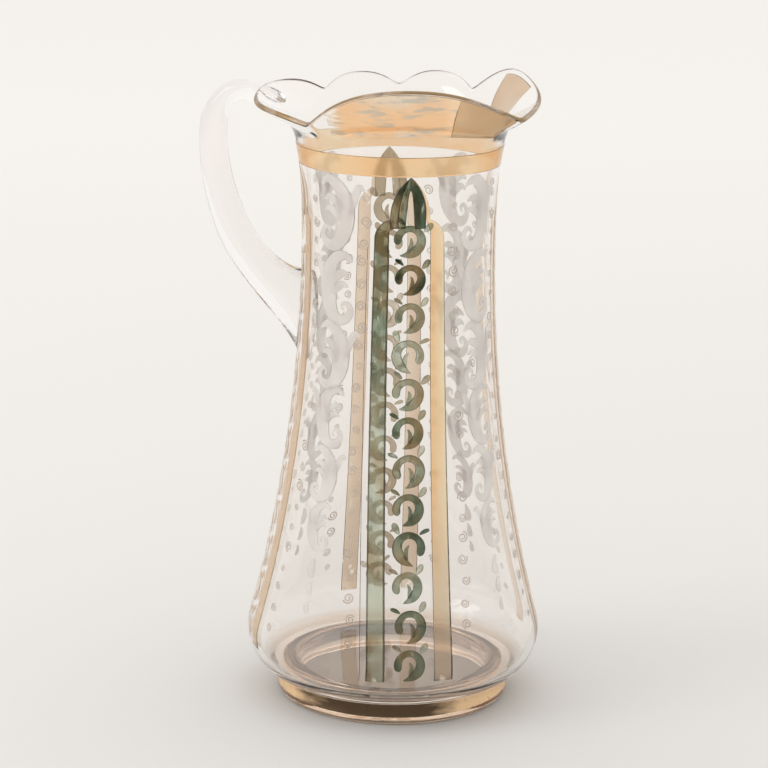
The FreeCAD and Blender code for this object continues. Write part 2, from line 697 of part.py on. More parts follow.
def build():
    """All pieces of the jug, in the order they are made."""
    vessel = hollow_vessel()
    blank = vessel_solid("vessel_blank", " + film_gap", " - film_gap")
    film_form = vessel_solid("film_form", " + film_gap + film", " - film_gap - film")
    glass = glass_body(vessel)
    foot = foot_solid("foot_ring")
    handle = boolean("Part::Cut", "handle", handle_blank(), glass)
    whole_skin = boolean("Part::Cut", "whole_skin", film_form, blank)
    skin = boolean("Part::Cut", "skin", whole_skin, handle)
    band = boolean("Part::Common", "neck_gilt_band", skin, slab("band_slab", BAND_BOTTOM, "band_height"))
    nodes = [glass, foot, handle, band, foot_gilding()]
    quarter = 360.0 / len(PANELS)
    for number, (panel, gap) in enumerate(zip(PANELS, GAPS)):
        turn = amount("panel_turn") + quarter * number
        nodes.append(fired_film(panel + "_arch", arch_corners(), turn, skin))
        nodes.append(fired_film(panel + "_left_strap", left_strap_corners(), turn, skin))
        nodes.append(fired_film(panel + "_right_strap", right_strap_corners(), turn, skin))
        nodes.append(raised_enamel(panel + "_scrolls", scroll_column(), turn, skin))
        nodes.append(raised_enamel(gap + "_leaves", leaf_column(), turn + quarter / 2, skin))
    return nodes


def save(nodes):
    """Check every object of the document, then write one file for each piece."""
    DOC.recompute()
    for item in DOC.Objects:
        if "Invalid" in item.State or "Error" in item.State:
            raise RuntimeError("%s failed: %s" % (item.Name, item.State))
    for node in nodes:
        if node.Shape.isNull() or not node.Shape.isValid() or not node.Shape.Solids:
            raise RuntimeError("%s has no valid solid" % node.Label)
    os.makedirs("parts", exist_ok=True)
    for node in nodes:
        node.Shape.exportStep("parts/%s.step" % node.Label)
        print(node.Label, len(node.Shape.Solids), "solid", round(node.Shape.Volume, 1), "mm3")


save(build())
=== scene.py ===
"""Dresses a blown glass jug: clear glass, fired gilding, green and white enamel, and a pale studio."""
import json
import math

import bmesh
import bpy
import numpy as np
from bpy.props import FloatProperty, FloatVectorProperty, IntProperty, PointerProperty
from mathutils import Matrix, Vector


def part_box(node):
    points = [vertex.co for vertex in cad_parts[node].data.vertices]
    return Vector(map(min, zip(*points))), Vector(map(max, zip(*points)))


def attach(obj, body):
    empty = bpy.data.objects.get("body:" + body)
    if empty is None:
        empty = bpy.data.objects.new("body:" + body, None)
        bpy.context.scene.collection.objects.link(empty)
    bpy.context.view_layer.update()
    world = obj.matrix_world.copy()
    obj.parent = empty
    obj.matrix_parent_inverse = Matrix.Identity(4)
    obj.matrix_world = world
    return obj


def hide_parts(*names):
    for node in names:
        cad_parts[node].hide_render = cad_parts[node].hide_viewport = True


bl_info = {
    "name": "Glass jug",
    "version": (1, 0, 0),
    "blender": (4, 5, 0),
    "location": "3D View > Sidebar > Jug",
    "description": "Builds the glass, gilding and enamel of a crimped jug around its packed frame",
    "category": "Add Mesh",
}

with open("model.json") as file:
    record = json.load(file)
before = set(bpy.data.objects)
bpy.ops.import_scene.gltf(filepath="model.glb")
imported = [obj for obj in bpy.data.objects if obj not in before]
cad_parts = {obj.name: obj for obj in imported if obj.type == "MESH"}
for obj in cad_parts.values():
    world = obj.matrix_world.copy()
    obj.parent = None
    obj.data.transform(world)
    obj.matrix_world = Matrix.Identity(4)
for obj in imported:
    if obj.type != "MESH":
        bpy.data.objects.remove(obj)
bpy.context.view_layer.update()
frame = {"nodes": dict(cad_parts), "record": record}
MM = 0.001
TURN = 2 * math.pi


def node_radius(node, low, high):
    """Largest distance from the upright axis of a node's points between two levels."""
    mesh = frame["nodes"][node].data
    points = np.empty(len(mesh.vertices) * 3)
    mesh.vertices.foreach_get("co", points)
    points = points.reshape(-1, 3)
    inside = (points[:, 2] >= low) & (points[:, 2] <= high)
    return float(np.hypot(points[inside, 0], points[inside, 1]).max())


# Levels and radii that follow from the frame
BODY_LOW, BODY_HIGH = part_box("glass_body")
BAND_LOW, BAND_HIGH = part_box("neck_gilt_band")
_, FOOT_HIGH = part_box("foot_ring")
GILT_LOW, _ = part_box("foot_gilding")
STRAP_LOW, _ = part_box("front_right_strap")
COLLAR_OVER_BAND = 1.0 * MM
NECK_DEPTHS = (44.0 * MM, 30.0 * MM)
FOOT_TOP = BODY_LOW.z
FOOT_RADIUS = FOOT_HIGH.x
BAND_BOTTOM = BAND_LOW.z
STRAP_END = STRAP_LOW.z
COLLAR_TOP = BAND_HIGH.z + COLLAR_OVER_BAND
NECK_RADIUS = node_radius("glass_body", COLLAR_TOP - NECK_DEPTHS[0], COLLAR_TOP - NECK_DEPTHS[1])

# Points along and round the surfaces
BODY_COLUMNS = 360
BELLY_ROWS, FLARE_ROWS, COLLAR_ROWS, RIM_ROWS, CORNER_ROWS = 28, 48, 14, 56, 14
FOOT_COLUMNS, BEAD_ROWS, HOLLOW_ROWS, BORE_ROWS = 288, 16, 22, 6
HANDLE_COLUMNS, HANDLE_ROWS = 48, 180
RIM_FILM_COLUMNS, FILM_ROWS = 720, 14
STRAP_ROWS, ARCH_ROWS, SCROLL_ROWS, LEAF_ROWS = 60, 200, 44, 56
SECTION = 12
UNDERSIDE_SHARES = (0.0, 0.25, 0.5, 0.75, 0.92, 0.99)
BED_SHARES = (0.98, 0.9, 0.7, 0.45, 0.2, 0.0)
# Small gaps that keep rows apart, and the distance at which points are one
CORNER_GAP = 0.5 * MM
BORE_EASE = 0.1 * MM
GILT_MARGIN = 0.1 * MM
WELD = 1e-7
# Where the warm tint of the thick floor, partly painted shade of the recess under the jug, fades out above
# it
TINT_FADE = (0.2 * MM, 1.5 * MM)
UPWARD = (0.0, 0.0, 1.0)

PANELS = ("front", "right", "back", "left")
GAPS = ("front_right", "back_right", "back_left", "front_left")

# The crimped edge, lobe by lobe: direction from the pouring lip in degrees, reach beyond the neck
# and rise above the edge's middle level in millimetres
LOBES = (
    ((-123, 9.2, -6.8), (-110, 9.5, 1.0), (-98, 9.8, 6.0), (-70, 10.3, 9.8), (-45, 12.2, 6.6),
     (-32, 14.2, 2.1), (-16, 16.5, -4.2)),
    ((-16, 16.5, -4.2), (-4, 17.0, -1.6), (16, 16.8, 3.4), (31, 15.7, 7.6), (44, 14.2, 10.0),
     (57, 11.2, 5.5), (66, 8.0, -1.2)),
    ((66, 8.0, -1.2), (72, 9.0, 2.8), (85, 10.2, 6.0), (98, 9.0, 3.8), (106, 7.2, -1.0)),
    ((106, 7.2, -1.0), (112, 8.6, 2.6), (124, 10.2, 5.2), (139, 9.0, 2.8), (147, 8.0, -1.6)),
    ((147, 8.0, -1.6), (155, 12.2, 2.4), (165, 17.2, 3.6), (181, 20.0, 2.2), (200, 19.6, -1.0),
     (222, 15.0, -3.4), (237, 9.2, -6.8)),
)
# Control columns round the rim, and how its wall leaves the collar and curls out to a rounded edge
RIM_COLUMNS = 120
ROOT_REACH = 0.34
EDGE_REACH = 0.36
EDGE_ROLL = 0.32
EDGE_ROUNDING = 0.55

# The handle's middle line from rim to lower seat: share of its reach, share of its height, thickness
# and width as shares of their sizes, tilt in degrees
HANDLE_STATIONS = (
    (0.481, 0.968, 0.80, 1.06, 80.0), (0.636, 1.000, 0.73, 1.00, 84.0), (0.806, 0.990, 0.73, 0.98, 62.0),
    (0.924, 0.934, 0.84, 0.97, 33.0), (0.991, 0.853, 0.99, 0.97, 16.0), (1.000, 0.740, 1.02, 0.98, 0.0),
    (0.954, 0.594, 1.10, 1.00, -17.0), (0.831, 0.422, 1.22, 1.03, -24.6), (0.664, 0.290, 1.33, 1.06, -36.0),
    (0.428, 0.173, 1.53, 1.12, -58.5), (0.200, 0.083, 2.20, 1.25, -82.0),
)
# Direction of the handle from the pouring lip in degrees, where its upper end sits up the rim's wall, and
# thickness and width of both ends as shares of their sizes
HANDLE_WAY = 180.0
UPPER_SEAT_ALONG = 0.80
UPPER_SEAT_SHARE = (0.86, 1.12)
LOWER_SEAT_SHARE = (3.25, 1.45)

# One white leaf scroll, in millimetres from its middle: brush strokes as points and half widths
LEAF_STROKES = (
    ((-8.5, 13.6, 0.6), (-4.6, 16.2, 2.0), (0.9, 13.9, 3.0), (4.0, 8.0, 4.2), (4.4, -0.7, 4.8),
     (2.8, -8.0, 4.0), (-1.8, -12.6, 2.8), (-6.8, -10.9, 2.0), (-7.7, -6.6, 1.5), (-5.4, -4.9, 1.1),
     (-3.6, -6.6, 0.7), (-4.8, -8.0, 0.4)),
    ((3.2, 3.2, 2.4), (-0.6, 6.8, 2.1), (-3.9, 8.3, 1.6), (-6.6, 7.0, 0.5)),
    ((2.4, -1.4, 2.2), (-1.2, 2.2, 1.9), (-4.2, 3.4, 1.4), (-6.5, 2.2, 0.5)),
    ((6.4, 0.6, 0.6), (8.2, 5.8, 1.7), (9.8, 10.6, 1.9), (12.4, 13.6, 1.3), (13.8, 12.0, 0.5)),
)
LEAF_DROP = ((0.6, 4.2, 0.5), (-0.4, 1.2, 1.6), (0.0, -2.6, 2.0), (1.4, -4.0, 0.8))
# Level of each leaf scroll and drop below the neck band, in millimetres, and its size
LEAF_PLACES = ((19.0, 1.0), (51.5, 0.98), (81.5, 0.92), (108.0, 0.83), (133.5, 0.76), (156.0, 0.66))
DROP_PLACES = ((173.0, 1.0), (182.0, 0.8), (190.5, 0.65))
# One fine curl in millimetres, and how freely the curls of a gap sit beside its straps
CURL_POINTS = 24
CURL_TURN = 3.4 * math.pi
CURL_REACH = (2.5, 0.5)
CURL_HALF = 0.30
CURL_COUNT = 22
CURL_ENDS = (12 * MM, 30 * MM)
CURL_STAGGER = 1.5 * MM
CURL_RISE = 0.9 * MM
CURL_CLEAR = (3.2 * MM, 5.2 * MM)
CURL_SPREAD = 0.02
CURL_SIZES = (0.55, 1.05)
CURL_RELIEF = 0.35
# The hand that paints the scrolls: spread of places, turns and tones, and range of sizes
SCROLL_SHIFT = 0.35 * MM
SCROLL_SPIN = 0.14
TONE_SPREAD = 0.05
SCROLL_SIZES = (0.94, 1.06)
# The lowest scroll above the widest level, which scrolls are mirrored, and the tone of each of a scroll's
# strokes against its own
SCROLL_END = 3.0 * MM
MIRROR_EACH, MIRROR_FIRST = 5, 3
STROKE_TONES = (0.0, 0.1, -0.1, 0.4)
# Starts of the two series of random draws
SCROLL_SEED, CURL_SEED = 11, 5
# Thinnest half width of a stroke and thinnest share of it at its ends
BRUSH_THIN, BRUSH_END = 2e-4, 1e-4
# How square the sections of straps, scrolls and leaves are: a low power is nearly flat
STRAP_ROUNDNESS, SCROLL_ROUNDNESS, LEAF_ROUNDNESS = 0.4, 0.6, 0.7
# The arch's inner side against its outer curve, and the outlines drawn along the front panel
INNER_CURVE = 1.13
LINE_DROP = 4.0 * MM
LINE_BESIDE = 2.6 * MM
LINE_POINTS = 5
LINE_RAISE = 1.6
# Share of a film's thickness that the rim's gold, the outlines and gilt scrolls have
THIN_FILM = 0.5
# Where the neck band and the rim's films lie across a gilt strap's shades
NECK_ACROSS, RIM_ACROSS = 0.3, 0.1
# How thinly each scroll of a panel is painted, from the top: 0 is thick and deep, 1 thin and pale
SCROLL_TONES = (0.42, 0.05, 0.66, 0.86, 0.74, 0.40, 0.62, 0.55, 0.36, 0.66, 0.42, 0.56)
# How thinly the stripes of an arch are painted, and a left strap from its shoulder (0) to its end (1)
ARCH_TONES = (0.08, 0.42, 0.15)
STRAP_PLACES = (0.0, 0.5, 0.64, 0.73, 1.0)
STRAP_TONES = (0.15, 0.32, 0.58, 1.05, 1.25)

# Gilding on the crimped rim: finish, two places from its outer root (0) over the edge (0.5) and two
# directions in degrees
RIM_GILDING = (
    ("front_rim_gold", "wiped", 0.05, 0.37, -112.0, -48.0),
    ("lip_side_gold", "tan", 0.05, 0.37, -48.0, -19.0),
    ("lip_gold", "tan", 0.06, 0.30, 26.0, 47.0),
    ("front_edge_gold", "edge", 0.40, 0.58, -123.0, -16.0),
    ("lip_edge_gold", "edge", 0.41, 0.58, -16.0, 66.0),
    ("back_edge_gold", "edge", 0.42, 0.58, 66.0, 147.0),
    ("handle_edge_gold", "edge", 0.40, 0.58, 147.0, 237.0),
)

# The studio: painted shade of the near floor, strengths of the light, where both fade, size and place
# of the soft box, and how often light may bounce
NEAR_PAINTED_SHADE = 0.84
FLOOR_FADE = (-0.6, 2.0)
LIGHT_ROUND, LIGHT_AHEAD, LIGHT_ABOVE = 0.74, 0.22, 0.2
AHEAD_FADE, ABOVE_FADE = (-0.6, 0.7), (0.1, 0.9)
LAMP_SIZE = (0.9, 1.2)
LAMP_PLACE = (-1.3, -0.9, 1.1)
BOUNCES = 40


def sized(name, description, default):
    """A length that a user may change."""
    return FloatProperty(name=name, description=description, unit="LENGTH", default=default)


def aimed(name, description, degrees):
    """An angle that a user may change, given in degrees."""
    return FloatProperty(name=name, description=description, unit="ROTATION", default=math.radians(degrees))


def tinted(name, description, *colour):
    """A colour that a user may change."""
    return FloatVectorProperty(name=name, description=description, subtype="COLOR", default=colour)


class JugSizes(bpy.types.PropertyGroup):
    """Sizes of the glass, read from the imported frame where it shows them."""
    belly_radius: sized("Belly radius", "Widest radius of the vessel", (BODY_HIGH.y - BODY_LOW.y) / 2)
    belly_rise: sized("Belly rise", "Underside to the widest level", 19.5 * MM)
    belly_tuck: sized("Belly tuck", "Belly curve beyond its rise", 3.0 * MM)
    flare_height: sized("Flare height", "Widest level to the straight neck", 180.0 * MM)
    neck_length: sized("Neck length", "Height of the straight neck", 12.0 * MM)
    collar_height: sized("Collar height", "Height of the opening collar", 31.0 * MM)
    collar_curve: sized("Collar curve", "Radius of the collar's curve", 158.0 * MM)
    rim_height: sized("Rim height", "Collar to the middle of the edge", 17.0 * MM)
    wall: sized("Wall", "Thickness of the glass", 2.6 * MM)
    rim_wall: sized("Rim wall", "Thickness of the fire-polished edge", 2.4 * MM)
    floor_thickness: sized("Floor", "Thickness of the floor", 4.5 * MM)
    floor_fillet: sized("Floor corner", "Radius inside the floor corner", 9.0 * MM)
    foot_bead: sized("Foot bead", "Radius of the foot's bead", 2.2 * MM)
    foot_spread: sized("Foot spread", "Bead beyond the foot's seat", 2.0 * MM)
    foot_width: sized("Foot width", "Thickness of the foot ring", 7.5 * MM)
    foot_sink: sized("Foot sink", "Foot's top inside the vessel's floor", 0.15 * MM)
    handle_thickness: sized("Handle thickness", "Thickness at the bow", 12.6 * MM)
    handle_width: sized("Handle width", "Width across the bow", 13.0 * MM)
    handle_reach: sized("Handle reach", "Neck to the middle of the bow", 43.5 * MM)
    handle_crown: sized("Handle crown", "Collar top to the handle's top", 18.5 * MM)
    handle_drop: sized("Handle drop", "Collar top to the lower seat", 81.5 * MM)


class JugPainting(bpy.types.PropertyGroup):
    """Sizes of the gilding and the enamel."""
    lift: sized("Lift", "Gap that keeps a film off the glass", 0.03 * MM)
    film: sized("Film", "Thickness of a fired film", 0.12 * MM)
    relief: sized("Relief", "Height of raised enamel", 0.30 * MM)
    panel_turn: aimed("Panel turn", "Direction of the first panel", -68.5)
    arch_half: sized("Arch half", "Half width of the arch", 8.6 * MM)
    arch_rise: sized("Arch rise", "Cusps to the tip", 18.4 * MM)
    arch_curve: sized("Arch curve", "Radius of its sides", 23.0 * MM)
    arch_edge: sized("Arch edge", "Gilt edge at the cusp", 1.8 * MM)
    arch_hem: sized("Arch hem", "Cusps to the hem", 4.0 * MM)
    lancet_half: sized("Lancet half", "Half width of the arch's opening", 1.9 * MM)
    lancet_rise: sized("Lancet rise", "Cusps to the top of that opening", 12.5 * MM)
    shoulder_half: sized("Shoulder half", "Half width at the shoulders", 15.0 * MM)
    shoulder_drop: sized("Shoulder drop", "Cusps to the foot of the shoulder", 9.0 * MM)
    shoulder_curve: sized("Shoulder curve", "Radius of the shoulder", 9.0 * MM)
    strap_width: sized("Strap width", "Strap under the shoulder", 6.2 * MM)
    strap_foot_half: sized("Strap foot half", "Half panel at the strap ends", 19.0 * MM)
    strap_foot_width: sized("Strap foot width", "Strap at its end", 8.0 * MM)
    scroll_radius: sized("Scroll radius", "Size of a scroll", 6.4 * MM)
    scroll_count: IntProperty(name="Scrolls", description="Scrolls in a panel", default=12, min=2)


class JugColours(bpy.types.PropertyGroup):
    """Colours of the finishes."""
    glass: tinted("Glass", "Tint of the glass", 0.985, 0.972, 0.960)
    gold: tinted("Gold", "Thin gold against the light", 1.0, 0.90, 0.68)
    amber: tinted("Amber", "Thicker gold", 1.0, 0.71, 0.42)
    thin_gold: tinted("Thin gold", "Gold worn thin", 0.95, 0.82, 0.66)
    thin_amber: tinted("Thin amber", "Worn gold where it is thicker", 0.86, 0.68, 0.52)
    tan_gold: tinted("Tan gold", "Gold browned at the lip", 0.71, 0.51, 0.31)
    rim_gold: tinted("Rim gold", "Gold wiped round the rim", 1.0, 0.70, 0.43)
    edge_gold: tinted("Edge gold", "Gold on the rim's edge", 0.52, 0.36, 0.19)
    ash: tinted("Ash", "Grey streaks in the rim's gold", 0.60, 0.60, 0.55)
    # Partly the thick glass's own tint, partly painted warm shade of the recess under the jug
    warm_glass_and_shade: tinted("Warm glass", "Tint of the thick floor", 0.95, 0.82, 0.71)
    foot_glass: tinted("Foot glass", "Tint of the foot ring", 0.90, 0.79, 0.69)
    outline: tinted("Outline", "Drawn outlines", 0.07, 0.06, 0.045)
    # Bronze is painted shade on the foot's gold, at its front and back
    foot_shade_bronze: tinted("Bronze", "Gold that has darkened", 0.120, 0.075, 0.040)
    deep_green: tinted("Deep green", "Green enamel at its thickest", 0.060, 0.085, 0.055)
    green: tinted("Green", "Middle green enamel", 0.235, 0.300, 0.220)
    sage: tinted("Sage", "Green enamel at its thinnest", 0.700, 0.745, 0.640)
    olive: tinted("Olive", "Brown clouds in the green", 0.460, 0.360, 0.210)
    brown: tinted("Brown", "Worn green, browned", 0.540, 0.440, 0.300)
    # Beige is worn green at its thinnest, and also painted shade on the fresh gold's lower strap ends
    beige: tinted("Beige", "Worn green at its thinnest, aged gold", 0.760, 0.670, 0.550)
    curl: tinted("Curl", "Fine drawn curls", 0.66, 0.58, 0.52)
    white: tinted("White", "Raised white enamel", 0.92, 0.88, 0.86)
    floor: tinted("Floor", "Studio floor", 0.915, 0.895, 0.865)
    light: tinted("Light", "Studio light", 1.0, 0.985, 0.965)


class JugStage(bpy.types.PropertyGroup):
    """The studio: where the camera stands and how it looks."""
    azimuth: aimed("Azimuth", "Camera direction round the jug", 15.0)
    distance: sized("Distance", "Camera to axis", 1.1296)
    height: sized("Height", "Camera over the floor", 0.422)
    pitch: aimed("Pitch", "Camera looks down", 13.9)
    pan: aimed("Pan", "Camera turns left", 0.276)
    roll: aimed("Roll", "Camera tilts sideways", 0.85)
    lens: FloatProperty(name="Lens", description="Focal length", unit="CAMERA", default=121.6)
    sensor: FloatProperty(name="Sensor", description="Width of the sensor", unit="CAMERA", default=36.0)
    floor_half: sized("Floor half", "Half width of the floor", 8.0)
    floor_sink: sized("Floor sink", "Floor under the jug's foot", 0.2 * MM)
    lamp_power: FloatProperty(name="Lamp power", description="Soft box", unit="POWER", default=6.0)


def sizes():
    """The glass sizes in use."""
    return bpy.context.scene.jug_sizes


def painting():
    """The painting sizes in use."""
    return bpy.context.scene.jug_painting


def colours():
    """The colours in use."""
    return bpy.context.scene.jug_colours


def cubic_through(knots, values, places):
    """Natural cubic spline: passes through each row of values at its knot and ends without a bend."""
    knots = np.asarray(knots, float)
    values = np.asarray(values, float).reshape(len(knots), -1)
    places = np.asarray(places, float)
    gaps = np.diff(knots)
    inner = np.arange(1, len(knots) - 1)
    system = np.eye(len(knots))
    system[inner, inner - 1] = gaps[:-1]
    system[inner, inner] = 2 * (gaps[:-1] + gaps[1:])
    system[inner, inner + 1] = gaps[1:]
    pull = np.zeros_like(values)
    pull[inner] = 6 * np.diff(np.diff(values, axis=0) / gaps[:, None], axis=0)
    bend = np.linalg.solve(system, pull)
    span = np.clip(np.searchsorted(knots, places, side="right") - 1, 0, len(knots) - 2)
    gap = gaps[span][:, None]
    before = (knots[span + 1] - places)[:, None]
    after = (places - knots[span])[:, None]
    return ((bend[span] * before ** 3 + bend[span + 1] * after ** 3) / (6 * gap)
            + (values[span] / gap - bend[span] * gap / 6) * before
            + (values[span + 1] / gap - bend[span + 1] * gap / 6) * after)


def clamped_weights(count, places):
    """Weights of an even cubic spline's control points that starts on the first and ends on the last:
    the usual recursion from steps to ramps to curves. Places run from 0 to 1."""
    degree = 3
    spans = count - degree
    knots = np.concatenate([np.zeros(degree), np.arange(spans + 1), np.full(degree, spans)])
    spots = np.minimum(np.asarray(places)[:, None] * spans, spans * (1 - 1e-12))
    weights = ((spots >= knots[:-1]) & (spots < knots[1:])).astype(float)
    for order in range(1, degree + 1):
        left, right = knots[:-order - 1], knots[order + 1:]
        rise = np.where(knots[order:-1] > left, knots[order:-1] - left, 1.0)
        fall = np.where(right > knots[1:-order], right - knots[1:-order], 1.0)
        weights = (spots - left) / rise * weights[:, :-1] + (right - spots) / fall * weights[:, 1:]
    return weights


def round_weights(count, samples):
    """Weights of an even closed cubic spline at evenly spaced samples round it."""
    place = np.arange(samples) * count / samples
    base = np.floor(place + 1e-9).astype(int)
    part = np.clip(place - base, 0.0, 1.0)
    shares = np.stack([(1 - part) ** 3, 3 * part ** 3 - 6 * part ** 2 + 4,
                       -3 * part ** 3 + 3 * part ** 2 + 3 * part + 1, part ** 3], 1) / 6
    weights = np.zeros((samples, count))
    np.add.at(weights, (np.arange(samples)[:, None], (base[:, None] + np.arange(-1, 3)) % count), shares)
    return weights


def arc(centre, radius, start, stop, count):
    """Points of a circle's arc, as radius and level."""
    turn = np.linspace(start, stop, count)
    return np.stack([centre[0] + radius * np.cos(turn), centre[1] + radius * np.sin(turn)], 1)


def unit(vectors):
    """Vectors of length one."""
    return vectors / np.linalg.norm(vectors, axis=-1, keepdims=True)


def vessel_arcs(inset):
    """Centres, radii and meeting angle of the belly and flare arcs, moved inwards by the inset. The
    flare is tangent to the neck and to the belly, which gives its radius."""
    size = sizes()
    belly_radius = size.belly_rise + size.belly_tuck - inset
    belly = np.array([size.belly_radius - size.belly_rise - size.belly_tuck, FOOT_TOP + size.belly_rise])
    neck = NECK_RADIUS - inset
    across = neck - belly[0]
    flare_radius = (across ** 2 + size.flare_height ** 2 - belly_radius ** 2) / (
        2 * (size.belly_radius - NECK_RADIUS))
    flare = np.array([neck + flare_radius, belly[1] + size.flare_height])
    lean = math.atan2(flare[1] - belly[1], flare[0] - belly[0])
    return belly, belly_radius, flare, flare_radius, lean


def vessel_radius(level):
    """Outer radius of the vessel at a level: belly arc, flare arc, straight neck, then collar arc."""
    size = sizes()
    belly, belly_radius, flare, flare_radius, lean = vessel_arcs(0.0)
    meet = belly[1] + belly_radius * math.sin(lean)
    collar = flare[1] + size.neck_length
    belly_part = belly[0] + np.sqrt(np.maximum(belly_radius ** 2 - (level - belly[1]) ** 2, 0.0))
    flare_part = flare[0] - np.sqrt(np.maximum(flare_radius ** 2 - (level - flare[1]) ** 2, 0.0))
    collar_part = NECK_RADIUS + size.collar_curve - np.sqrt(
        np.maximum(size.collar_curve ** 2 - (level - collar) ** 2, 0.0))
    return np.select([level < meet, level < flare[1], level < collar], [belly_part, flare_part, NECK_RADIUS],
                     collar_part)


def vessel_profile(inset):
    """Profile of the wall from belly to collar top, as radius and level, moved inwards by the inset."""
    size = sizes()
    belly, belly_radius, flare, flare_radius, lean = vessel_arcs(inset)
    toe = -math.asin(size.belly_rise / (size.belly_rise + size.belly_tuck))
    collar = (NECK_RADIUS + size.collar_curve, flare[1] + size.neck_length)
    opening = math.asin(size.collar_height / (size.collar_curve + inset))
    return np.concatenate([
        arc(belly, belly_radius, toe, lean, BELLY_ROWS),
        arc(flare, flare_radius, math.pi + lean, math.pi, FLARE_ROWS)[1:],
        arc(collar, size.collar_curve + inset, math.pi, math.pi - opening, COLLAR_ROWS),
    ])


def turned(profile, columns):
    """A profile of radius and level carried once round the upright axis."""
    angle = TURN * np.arange(columns) / columns
    radius, level = profile[:, 0, None], profile[:, 1, None]
    return np.stack([radius * np.cos(angle), radius * np.sin(angle), level + 0 * angle], -1)


def crimped_edge(turns):
    """Radius and level of the crimped edge in the given directions, lobe by lobe."""
    start = LOBES[0][0][0]
    wrapped = start + (turns - start) % 360.0
    edge = np.zeros((len(turns), 2))
    for lobe in LOBES:
        table = np.array(lobe, float)
        inside = (wrapped >= table[0, 0]) & (wrapped <= table[-1, 0])
        edge[inside] = cubic_through(table[:, 0], table[:, 1:], wrapped[inside]) * MM
    return edge + np.array([NECK_RADIUS, COLLAR_TOP + sizes().rim_height])


def rim_middle(edge):
    """Middle line of the rim's wall under points of its edge: root, two control points and edge."""
    size = sizes()
    outer = size.collar_curve
    inner = size.collar_curve + size.wall
    reach = [NECK_RADIUS + outer - math.sqrt(outer ** 2 - size.collar_height ** 2),
             NECK_RADIUS - size.wall + inner - math.sqrt(inner ** 2 - size.collar_height ** 2)]
    slope = (math.asin(size.collar_height / outer) + math.asin(size.collar_height / inner)) / 2
    root = np.broadcast_to([sum(reach) / 2, COLLAR_TOP], edge.shape)
    length = np.linalg.norm(edge - root, axis=1, keepdims=True)
    start = np.array([math.sin(slope), math.cos(slope)])
    finish = unit(unit(edge - root) + np.array([EDGE_ROLL, 0.0]))
    return root, root + start * ROOT_REACH * length, edge - finish * EDGE_REACH * length, reach


def rim_net():
    """Control net of the crimped rim, rows up the outside, over the edge and down the inside."""
    size = sizes()
    turns = 360.0 * np.arange(RIM_COLUMNS) / RIM_COLUMNS
    edge = crimped_edge(turns)
    root, low, high, reach = rim_middle(edge)
    outside, inside = [], []
    for centre, way, half in ((low, unit(low - root), size.wall / 2),
                              (high, unit(edge - low), (size.wall + size.rim_wall) / 4),
                              (edge, unit(edge - high), size.rim_wall / 2)):
        side = np.stack([way[:, 1], -way[:, 0]], 1) * half
        outside.append(centre + side)
        inside.append(centre - side)
    lip = unit(edge - high) * size.rim_wall * EDGE_ROUNDING
    gain = 6.0 / (4.0 + 2.0 * math.cos(TURN / RIM_COLUMNS))
    ends = [np.broadcast_to([gain * radius, COLLAR_TOP], edge.shape) for radius in reach]
    rows = np.stack([ends[0]] + outside + [outside[-1] + lip, inside[-1] + lip] + inside[::-1] + [ends[1]])
    angle = np.radians(turns)
    return np.stack([rows[..., 0] * np.cos(angle), rows[..., 0] * np.sin(angle), rows[..., 1]], -1)


def rim_surface(places, columns):
    """The crimped rim at given places from its outer root (0) to its inner root (1)."""
    net = rim_net()
    along = clamped_weights(net.shape[0], places)
    around = round_weights(net.shape[1], columns)
    return np.einsum("ai,ijk,bj->abk", along, net, around)


def on_vessel(turn, across, level, lift):
    """Points on the vessel: a panel's direction, the distance across from its middle line, the level
    and the lift off the glass."""
    radius = vessel_radius(level)
    angle = turn + np.arcsin(np.clip(across / radius, -1.0, 1.0))
    return np.stack([(radius + lift) * np.cos(angle), (radius + lift) * np.sin(angle), level], -1)


def signed_volumes(points, quads):
    """Volume of each patch, below zero where its faces point inwards."""
    first, second, third, fourth = (points[quads[..., corner]] for corner in range(4))
    halves = np.cross(second - first, third - first) + np.cross(third - first, fourth - first)
    return np.einsum("pfk,pfk->p", (first + second + third + fourth) / 4, halves)


